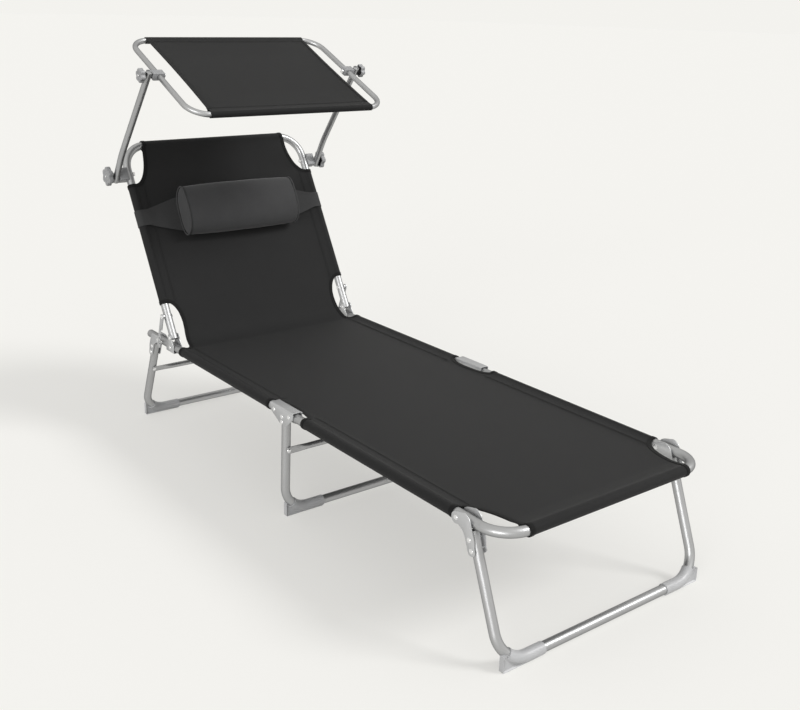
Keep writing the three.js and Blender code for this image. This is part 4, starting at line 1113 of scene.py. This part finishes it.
def lay_cloth(cutter, outline, sleeves, place, bar=None, gap_of=no_bar):
    """One panel. outline is rows of (along, half width), place(x, along, height) gives a point in
    millimetres, bar is where an end bar's sleeve lies and which way it turns, and gap_of(along) is how
    far that bar is."""
    rows, flats = [], []
    for along, half in outline:
        xs = [share * half for share in shares]
        rows.append([place(x, along, surface_height(x, gap_of(along))) for x in xs])
        flats.append([(x, along) for x in xs])
    if bar:
        end, sign = bar
        xs = [share * bar_sleeve_half for share in shares]
        for i, turn in enumerate(bar_turns[1:], 1):
            y = end + sign * sleeve_radius * math.cos(turn)
            rows.append([place(x, y, sleeve_radius * math.sin(turn)) for x in xs])
            flats.append([(x, end + sign * (i * sleeve_pitch)) for x in xs])
        for inboard in bar_hem:
            rows.append([place(x, end - sign * inboard, surface_height(x, inboard) - hem_under) for x in xs])
            flats.append([(x, end + sign * (sleeve_round + inboard)) for x in xs])
    cutter.grid(rows, flats)
    for start, end in sleeves:
        stations = [start, *(row[0] for row in even(start, end, 0)), end]
        for side in (-1, 1):
            rows, flats = [], []
            for s in stations:
                row = [place(side * (rail_half + sleeve_radius * math.cos(t)), s, sleeve_radius * math.sin(t))
                       for t in sleeve_turns]
                row += [place(side * x, s, surface_height(x, gap_of(s)) - hem_under)
                        for x in (hem_inner, hem_inner - 5)]
                rows.append(row)
                flats.append([(side * (lift_from + 1.8 * k), s) for k in range(len(row))])
            cutter.grid(rows, flats)
            for line in (hem_inner + 1.0, hem_inner - 3.0):
                on = [(s, surface_height(line, gap_of(s))) for s in stations]
                path, above = ([place(side * line, s, height + lift) for s, height in on]
                               for lift in (cloth_thick / 2, 10))
                cutter.sewn(path, [b - a for a, b in zip(path, above)])


# The tape's section: how far in from the cut edge, and how far off the cloth's middle.
tape_wide = 9.0
tape_section = ((tape_wide, 0.95), (tape_wide * 0.5, 1.1), (0.6, 0.95), (-0.6, 0.35), (-0.6, -0.35),
                (0.6, -0.95), (tape_wide * 0.5, -1.1), (tape_wide, -0.95))
tape_outside = tape_section[:6]


def bind_edge(cutter, edge, place, gap_of=no_bar):
    """Tape folded over a cut edge, given as (along, half width) points with the cloth on the inner side."""
    for side in (-1, 1):
        rows, flats = [], []
        for i, (along, half) in enumerate(edge):
            before, after = edge[max(i - 1, 0)], edge[min(i + 1, len(edge) - 1)]
            run = Vector((after[1] - before[1], after[0] - before[0])).normalized()
            inward = Vector((-run.y, run.x))
            if inward.x > 0:
                inward = -inward
            row = []
            for deep, off in tape_section:
                x, s = half + inward.x * deep, along + inward.y * deep
                row.append(place(side * x, s, surface_height(x, gap_of(along)) + off))
            rows.append(row)
            flats.append([(k * 3.0, along) for k in range(len(row))])
        cutter.grid(rows, flats, 1)


def bind_mouth(cutter, turns, point):
    """Tape round a sleeve's open end; point(depth, reach, turn) gives a place on it."""
    rows, flats = [], []
    for i, turn in enumerate(turns):
        rows.append([point(deep, sleeve_radius + max(off, -0.35), turn) for deep, off in tape_outside])
        flats.append([(k * 3.0, i * 2.0) for k in range(len(tape_outside))])
    cutter.grid(rows, flats, 1)


def bind_sleeve_end(cutter, along, inward, place, side):
    """Tape round the open end of a sleeve on a rail."""
    def point(deep, reach, turn):
        x = side * (rail_half + reach * math.cos(turn))
        return place(x, along + inward * deep, reach * math.sin(turn))
    bind_mouth(cutter, sleeve_turns, point)


def bind_bar_end(cutter, end, sign, place, side):
    """Tape round the open end of a sleeve on an end bar."""
    def point(deep, reach, turn):
        y = end + sign * reach * math.cos(turn)
        return place(side * (bar_sleeve_half - deep), y, reach * math.sin(turn))
    bind_mouth(cutter, bar_turns, point)


# The foot panel, from the seam at the middle hinges to the foot bar, in the foot frame's own directions.
seam_along, seam_room = 720.3, 0.4
foot_neck, mid_neck, fold_neck, fold_half, top_neck = 226.0, 257.0, 242.0, 250.0, 224.0
neck_step = 2.0
foot_sleeve = (126.0, 640.0)


def foot_place(x, along, height):
    return Vector((x, along - foot_length, height))


def foot_gap(along):
    return along


foot_corner = list(reversed(cut_out(foot_neck, frame_edge, foot_sleeve[0])))
seam_low = [(seam_along, mid_neck), *cut_out(mid_neck, seam_along - seam_room, foot_sleeve[1])]
foot_outline = [*seam_low, *even(foot_sleeve[1], foot_sleeve[0], lift_from), *foot_corner,
                (bar_lift, foot_neck - neck_step)]
foot_cut = Cutter()
lay_cloth(foot_cut, foot_outline, [foot_sleeve], foot_place, (0.0, -1), foot_gap)
bind_edge(foot_cut, foot_corner, foot_place, foot_gap)
bind_edge(foot_cut, seam_low, foot_place, foot_gap)
for side in (-1, 1):
    bind_sleeve_end(foot_cut, foot_sleeve[0], 1, foot_place, side)
    bind_sleeve_end(foot_cut, foot_sleeve[1], -1, foot_place, side)
    bind_bar_end(foot_cut, 0.0, -1, foot_place, side)
foot_cloth = foot_cut.piece("foot_cloth", [main_cloth, bound_tape, bound_tape], foot_group)
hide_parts("foot_fabric")
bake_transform(foot_cloth)


# The seat panel, from the middle of the seat to the seam, flat over the rails.
seat_split = 1000.0
seat_sleeve = (780.0, 1236.0)


def seat_place(x, along, height):
    return Vector((x, along, rail_height + height))


seam_high = [(seam_along, mid_neck), *cut_out(mid_neck, seam_along + seam_room, seat_sleeve[0])]
seat_outline = [*seam_high, *even(seat_sleeve[0], seat_split, lift_from), (seat_split, lift_from)]
seat_cut = Cutter()
lay_cloth(seat_cut, seat_outline, [(seat_sleeve[0], seat_split)], seat_place)
bind_edge(seat_cut, seam_high, seat_place)
for side in (-1, 1):
    bind_sleeve_end(seat_cut, seat_sleeve[0], 1, seat_place, side)
seat_cloth = seat_cut.piece("seat_cloth", [main_cloth, bound_tape, bound_tape], seat_frame)
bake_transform(seat_cloth)


# The back panel, from the middle of the seat round the fold and up to the top bar.
fold_round = 60.0
fold_turn = 12.0
fold_neck_along = 34.0
back_sleeve = (94.0, 430.0)
waist_shares = ((-14.0, 0.25), (2.0, 0.6), (18.0, 0.88))
pivot_rise = backrest_height - rail_height
below = (pivot_rise - cloth_rise + cloth_rise * math.cos(recline)) / math.sin(recline)
fold_along = backrest_along - cloth_rise * math.sin(recline) - below * math.cos(recline)
fold_tangent = fold_round * math.tan(recline / 2)
fold_arc = fold_round * recline
fold_base = rail_height + cloth_rise
upright = Vector((0, math.cos(recline), math.sin(recline)))
outward = Vector((0, -math.sin(recline), math.cos(recline)))


def back_place(x, s, height):
    """s runs from the fold's start on the seat, up the backrest; it is negative on the seat."""
    off = height - cloth_rise
    if s <= 0:
        return Vector((x, fold_along - fold_tangent + s, fold_base + off))
    if s >= fold_arc:
        on = upright * (fold_tangent + s - fold_arc) + outward * off
        return Vector((x, fold_along, fold_base)) + on
    turn = s / fold_round
    reach = fold_round - off
    return Vector((x, fold_along - fold_tangent + reach * math.sin(turn),
                   fold_base + fold_round - reach * math.cos(turn)))


def on_back(along):
    """A place along the backrest frame, as a length along the cloth."""
    return fold_arc + along + below - fold_tangent


def on_seat(along):
    return along - fold_along + fold_tangent


top_end = on_back(backrest_reach)


def back_gap(s):
    return top_end - s


seat_end, back_start = on_seat(seat_split), on_seat(seat_sleeve[1])
back_low, back_high = (on_back(along) for along in back_sleeve)
waist = [(on_back(along), fold_half + (fold_neck - fold_half) * share) for along, share in waist_shares]
back_edge = [*reversed(cut_out(fold_half, on_seat(fold_along - fold_turn), back_start)), *waist,
             *cut_out(fold_neck, on_back(fold_neck_along), back_low)]
top_edge = list(reversed(cut_out(top_neck, top_end - frame_edge, back_high)))
back_outline = [(seat_end, lift_from), *even(seat_end, back_start, lift_from), *back_edge,
                *even(back_low, back_high, lift_from), *top_edge, (top_end - bar_lift, top_neck - neck_step)]
back_cut = Cutter()
lay_cloth(back_cut, back_outline, [(seat_end, back_start), (back_low, back_high)], back_place, (top_end, 1),
          back_gap)
bind_edge(back_cut, back_edge, back_place, back_gap)
bind_edge(back_cut, top_edge, back_place, back_gap)
for side in (-1, 1):
    bind_sleeve_end(back_cut, back_start, -1, back_place, side)
    bind_sleeve_end(back_cut, back_low, 1, back_place, side)
    bind_sleeve_end(back_cut, back_high, -1, back_place, side)
    bind_bar_end(back_cut, top_end, 1, back_place, side)
back_cloth = back_cut.piece("back_cloth", [main_cloth, bound_tape, bound_tape], seat_frame)
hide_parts("seat_fabric", "backrest_fabric")
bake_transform(back_cloth)


# Canopy cloth: one sheet of the same charcoal polyester in a finer weave, stretched between a sleeve on the
# near bar and one on the far bar, with narrow hems down both sides.
shade_rise, shade_lift, shade_lift_length = 5.6, 2.3, 8.0
shade_sag, shade_sag_length, shade_draw = 3.0, 90.0, 4.0
shade_half = 236.0
shade_sleeve = 8.1
shade_start, shade_sweep = 102.0, 232.0
shade_tuck, shade_pitch = 1.7, 1.6
shade_hem, shade_hem_height = (19.0, 24.0), 4.2
shade_wall = 0.9
shade_seams, hem_seam = (18.0, 21.0), 7.0
hem_section = ((9.0, 0.85), (4.5, 0.95), (0.4, 0.85), (-0.5, 0.3), (-0.5, -0.3), (0.4, -0.85), (4.5, -0.95),
               (9.0, -0.85))
shade_colour = (0.0088, 0.0088, 0.0090)
shade_cloth = woven("shade_cloth", shade_colour, 0.0009, 0.0001)
shade_cut = Cutter()


def shade_height(x, gap):
    """How high the cloth lies over the ring's axis, at a gap from the nearer bar."""
    pull = shade_sag * (1 - (x / shade_half) ** 2) * min(1.0, max(0.0, gap) / shade_sag_length)
    return shade_rise + shade_lift * math.exp(-max(0.0, gap - shade_tuck) / shade_lift_length) - pull


def shade_width(y):
    """The sides draw in a little between the bars."""
    middle = (canopy_far - canopy_near) / 2
    half = (canopy_far + canopy_near) / 2
    return shade_half - shade_draw * (1 - ((y - middle) / half) ** 2)


shade_xs = [share * shade_half for share in shares]
shade_turns = [math.radians(shade_start - i * shade_sweep / 21) for i in range(1, 22)]
for end, sign in ((-canopy_near, -1), (canopy_far, 1)):
    wrap = [(end + sign * shade_sleeve * math.cos(turn), shade_sleeve * math.sin(turn))
            for turn in shade_turns]
    wrap += [(end - sign * inboard, shade_hem_height) for inboard in shade_hem]
    rows = [[Vector((x, end - sign * shade_tuck, shade_height(x, shade_tuck))) for x in shade_xs]]
    rows += [[Vector((x, y, z)) for x in shade_xs] for y, z in wrap]
    shade_cut.grid(rows, [[(x, end + sign * k * shade_pitch) for x in shade_xs] for k in range(len(rows))])
    for gap in shade_seams:
        line = [Vector((x, end - sign * gap, shade_height(x, gap) + cloth_thick / 2)) for x in shade_xs]
        shade_cut.sewn(line, [(0, 0, 1)] * len(line))
stations = np.linspace(-canopy_near + shade_tuck, canopy_far - shade_tuck, 45)
rows, flats = [], []
for y in stations:
    gap = min(y + canopy_near, canopy_far - y)
    half = shade_width(y) if gap > shade_tuck + nearby else shade_half
    xs = [share * half for share in shares]
    rows.append([Vector((x, y, shade_height(x, gap))) for x in xs])
    flats.append([(x, y) for x in xs])
shade_cut.grid(rows, flats)
for side in (-1, 1):
    rows, flats, line = [], [], []
    for y in stations[2:-2]:
        x = side * shade_width(y)
        z = shade_height(x, min(y + canopy_near, canopy_far - y))
        rows.append([Vector((x - side * deep, y, z + off)) for deep, off in hem_section])
        flats.append([(x - side * deep, y) for deep, off in hem_section])
        line.append(Vector((x - side * hem_seam, y, z + hem_section[0][1] + cloth_thick / 2)))
    shade_cut.grid(rows, flats)
    shade_cut.sewn(line, [(0, 0, 1)] * len(line))
shade = shade_cut.piece("canopy_cloth", [shade_cloth, shade_cloth, bound_tape], canopy_group, shade_wall)
mount(shade, "canopy", "fabric", "canopy_fabric")


# Pillow band: a wide elastic loop of a paler grey weave round the backrest, flared behind the pillow and
# drawn in at the tubes, with a turned hem on each long edge.
band_along = 334.0
band_half, band_flare_half = 22.0, 48.0
band_reach, band_dip_length, band_dip = 262.0, 24.0, 3.2
band_radius, band_top = 13.2, 12.95
band_gap = 1.5
band_wall = 0.9
band_section = ((-1, 0.0), (-0.93, 0.45), (-0.86, 0.0), (-0.5, 0.0), (0, 0.0), (0.5, 0.0), (0.86, 0.0),
                (0.93, 0.45), (1, 0.0))
pillow_half = 172.0
band_colour = (0.042, 0.042, 0.0424)
band_cloth = woven("band_cloth", band_colour, 0.0010, 0.0001)
loop = []
for i in range(61):
    x = -band_reach + 2 * band_reach * i / 60
    inboard = min(1.0, max(0.0, (band_reach - abs(x)) / band_dip_length))
    loop.append((x, max(surface_height(x, far_off) + band_gap, band_top - band_dip * inboard ** 0.8)))
wrap_turns = [math.radians(90 - 180 * i / 18) for i in range(1, 19)]
around = [(rail_half + band_radius * math.cos(t), band_radius * math.sin(t)) for t in wrap_turns]
loop += [(rail_half, band_radius), *around]
loop += [(rail_half - 2 * rail_half * i / 40, -band_radius) for i in range(1, 40)]
loop += [*((-x, z) for x, z in reversed(around)), (-rail_half, band_radius), loop[0]]
rows, flats, length = [], [], 0.0
for i, (x, z) in enumerate(loop):
    drawn = min(1.0, max(0.0, (abs(x) - pillow_half) / (band_reach - pillow_half)))
    half = band_flare_half + (band_half - band_flare_half) * drawn
    if i:
        length += math.dist(loop[i - 1], (x, z))
    front = 1 if z > 0 else -1
    rows.append([Vector((x, band_along + share * half, z + front * curl)) for share, curl in band_section])
    flats.append([(length, share * half) for share, curl in band_section])
band_cut = Cutter()
band_cut.grid(rows, flats)
band = band_cut.piece("pillow_band", [band_cloth], back_frame, band_wall)
mount(band, "backrest", "fabric", "pillow_strap")


# Pillow: a stuffed roll in dark grey brushed cloth, flat where it rests, full in front, with sewn end discs
# and a corded seam round each. The closed bag is blown up as cloth and capped, then its seams are corded.
pillow_along = 331.0
pillow_height, pillow_depth, pillow_lean = 140.0, 76.0, 0.34
pillow_crown, pillow_end = 10.0, 1.5
pillow_clear, floor_clear, cord_clear = 0.6, 0.4, 1.4
pillow_back = surface_height(pillow_half, far_off) + band_gap + pillow_clear
pillow_colour = (0.050, 0.050, 0.0508)
rings, sides = 45, 64
shell_grow = 0.955
swell = 5.0
seam_reach = 6.5
cord_radius = 1.6


def squared(value):
    """Rounds a circle's height toward a square's."""
    return math.copysign(abs(value) ** 0.8, value)


def pillow_section(turn, grow):
    front = squared(math.sin(turn)) * pillow_depth * grow / 2
    return squared(math.cos(turn)) * pillow_height * grow / 2 + front * pillow_lean, front


def brushed(name, colour):
    """Brushed plain weave on the pillow's own form: fine crossed threads, nap and soft wear."""
    nap = Finish(bpy.data.materials.new(name))
    spot = nap.place()
    cross = nap.grain(nap.place((0.15, 1, 1)), 1500) + nap.grain(nap.place((1, 0.2, 0.2)), 1500)
    cloud = nap.grain(spot, 22, 4, 0.6)
    fuzz = nap.grain(spot, 3200, 1)
    return nap.dress({
        "Base Color": nap.blend(cross * 0.35 + cloud * 0.45 - 0.05, toned(colour, 0.74), toned(colour, 1.32)),
        "Roughness": nap.span(fuzz, 0.78, 0.92),
        "Specular IOR Level": 0.25,
        "Sheen Weight": 0.18,
        "Sheen Roughness": 0.45,
        "Normal": nap.bump(cross + fuzz * 0.4, 0.00012),
    })


nap_cloth = brushed("nap_cloth", pillow_colour)
points, faces = [], []
for i in range(rings + 1):
    x = (pillow_half - pillow_end) * (2 * i / rings - 1)
    crown = 1 - (pillow_crown / pillow_height) * (x / pillow_half) ** 2
    for k in range(sides):
        y, z = pillow_section(2 * math.pi * k / sides, crown * shell_grow)
        points.append(Vector((x, pillow_along + y, pillow_back + pillow_depth / 2 + z)))
for i in range(rings):
    for k in range(sides):
        a, b = i * sides + k, i * sides + (k + 1) % sides
        faces.append((a, b, b + sides, a + sides))
faces.append(tuple(reversed(range(sides))))
faces.append(tuple(rings * sides + k for k in range(sides)))
rim = (points[:sides], points[-sides:])
mesh = bpy.data.meshes.new("pillow_bag")
mesh.from_pydata(points, [], faces)
pillow = bpy.data.objects.new("pillow_bag", mesh)
bpy.context.scene.collection.objects.link(pillow)
edit_all(pillow)
bpy.ops.mesh.normals_make_consistent(inside=False)
bpy.ops.object.mode_set(mode="OBJECT")
modify(pillow, "REMESH", mode="VOXEL", voxel_size=4.5)
pillow.data.transform(Matrix.Scale(0.001, 4))
rest = np.array([v.co for v in pillow.data.vertices], float)
group = pillow.vertex_groups.new(name="seam")
seam_points = np.array([p for ends in rim for p in ends], float) / 1000
for index, spot in enumerate(rest):
    if np.min(np.linalg.norm(seam_points - spot, axis=1)) < seam_reach / 1000:
        group.add([index], 1.0, "REPLACE")
blow = pillow.modifiers.new("blow", "CLOTH")
blow.settings.use_pressure = True
blow.settings.uniform_pressure_force = 4
blow.settings.effector_weights.gravity = 0
blow.settings.vertex_group_mass = "seam"
blow.settings.quality = 6
blow.settings.tension_stiffness = 12
blow.settings.bending_stiffness = 0.4
blow.collision_settings.use_self_collision = False
blow.point_cache.frame_start, blow.point_cache.frame_end = 1, 20
for step in range(1, 21):
    bpy.context.scene.frame_set(step)
alone(pillow)
bpy.ops.object.modifier_apply(modifier="blow")
bpy.context.scene.frame_set(1)
blown = np.array([v.co for v in pillow.data.vertices], float)
move = blown - rest
size = np.maximum(np.linalg.norm(move, axis=1), 1e-9)
cap = swell / 1000
move *= (np.minimum(size, cap) / size)[:, None]
for vertex, spot in zip(pillow.data.vertices, rest + move):
    vertex.co = spot
pillow.data.transform(Matrix.Scale(1000, 4))
modify(pillow, "SMOOTH", factor=0.5, iterations=3)
pillow_floor = pillow_back + floor_clear
for vertex in pillow.data.vertices:
    vertex.co.z = max(vertex.co.z, pillow_floor)
modify(pillow, "SUBSURF", levels=1, render_levels=1)
pillow.vertex_groups.clear()
cords = []
for ring in rim:
    curve = bpy.data.curves.new("seam", "CURVE")
    curve.dimensions = "3D"
    line = curve.splines.new("POLY")
    line.points.add(len(ring) - 1)
    for spot, place in zip(line.points, ring):
        spot.co = (place.x, place.y, max(place.z, pillow_floor + cord_clear), 1)
    line.use_cyclic_u = True
    curve.bevel_depth = cord_radius
    curve.bevel_resolution = 3
    cord = bpy.data.objects.new("seam", curve)
    bpy.context.scene.collection.objects.link(cord)
    alone(cord)
    bpy.ops.object.convert(target="MESH")
    cords.append(bpy.context.object)
pillow = join("pillow_roll", [pillow, *cords])
settle(pillow, back_frame, nap_cloth, smooth=80)
mount(pillow, "backrest", "pillow_cloth", "pillow")


# Studio: a wide pale floor, an even pale surround, one soft high light from the right and a low one from the
# left front, which gives the tubes their streak. The camera stands where the photograph was taken from.
floor_colour = (0.985, 0.975, 0.94)
floor_bounce = (0.36, 0.36, 0.35)
surround = (0.899, 0.890, 0.857)
room_light = 0.53


def seen_by(finish):
    """Whether a ray comes from the camera, and whether one comes from a shiny or clear surface."""
    in_view = finish.node("ShaderNodeLightPath", {}, {}, "Is Camera Ray")
    return in_view, in_view.output("Is Glossy Ray").most(in_view.output("Is Transmission Ray"))


alone(None)
bpy.ops.mesh.primitive_plane_add(size=120, location=(0, 20, -0.0005))
floor = bpy.context.object
floor.name = "studio_floor"
ground = Finish(bpy.data.materials.new("studio_ground"))
speck = ground.grain(ground.place(), 3)
in_view, in_metal = seen_by(ground)
seen_floor = ground.blend(speck, toned(floor_colour, 0.995), floor_colour)
ground.dress({
    "Base Color": ground.blend(in_view.most(in_metal), floor_bounce, seen_floor),
    "Roughness": 0.9,
    "Specular IOR Level": 0.0,
})
pale = ground.node("ShaderNodeEmission", {}, {"Color": surround, "Strength": 1.0})
lit_floor = Socket(ground, ground.shader.outputs[0])
pale_share = in_view * 0.55 + in_metal * 0.88
ground.show(ground.node("ShaderNodeMixShader", {}, {0: pale_share, 1: lit_floor, 2: pale}))
finished(floor, ground.owner)

bpy.context.scene.world = bpy.data.worlds.new("studio")
sky = Finish(bpy.context.scene.world)
sky.dress({"Color": (1, 1, 1), "Strength": room_light})
lit = Socket(sky, sky.shader.outputs[0])
seen = sky.node("ShaderNodeBackground", {}, {"Color": surround, "Strength": 1.0})
in_view, in_metal = seen_by(sky)
sky.show(sky.node("ShaderNodeMixShader", {}, {0: in_view.most(in_metal), 1: lit, 2: seen}))

view_yaw, view_down, view_roll = math.radians(37.85), math.radians(18.61), math.radians(1.334)
view_from = (-1.4103, -1.9237, 1.1388)
ahead = Vector((math.sin(view_yaw) * math.cos(view_down), math.cos(view_yaw) * math.cos(view_down),
                -math.sin(view_down)))
level = Vector((math.cos(view_yaw), -math.sin(view_yaw), 0))
above = level.cross(ahead)
across = level * math.cos(view_roll) + above * math.sin(view_roll)
above = above * math.cos(view_roll) - level * math.sin(view_roll)
lens_data = bpy.data.cameras.new("photo_view")
lens_data.sensor_width = 36
lens_data.lens = 46.58
camera = bpy.data.objects.new("photo_view", lens_data)
turned = Matrix((across, above, -ahead)).transposed().to_4x4()
camera.matrix_world = Matrix.Translation(view_from) @ turned
bpy.context.scene.collection.objects.link(camera)
bpy.context.scene.camera = camera

toward_camera = Vector((-ahead.x, -ahead.y, 0)).normalized()
key_from = level * 0.9 + toward_camera * 0.15 + Vector((0, 0, 0.8))
front_from = toward_camera * 0.95 - level * 0.40 + Vector((0, 0, 0.12))
for name, source, strength, spread in (("key", key_from, 1.55, 20), ("front", front_from, 1.90, 34)):
    lamp = bpy.data.lights.new(name, "SUN")
    lamp.energy = strength
    lamp.angle = math.radians(spread)
    light = bpy.data.objects.new(name, lamp)
    light.rotation_mode = "QUATERNION"
    light.rotation_quaternion = source.to_track_quat("Z", "Y")
    bpy.context.scene.collection.objects.link(light)

bpy.context.scene.view_settings.view_transform = "Standard"
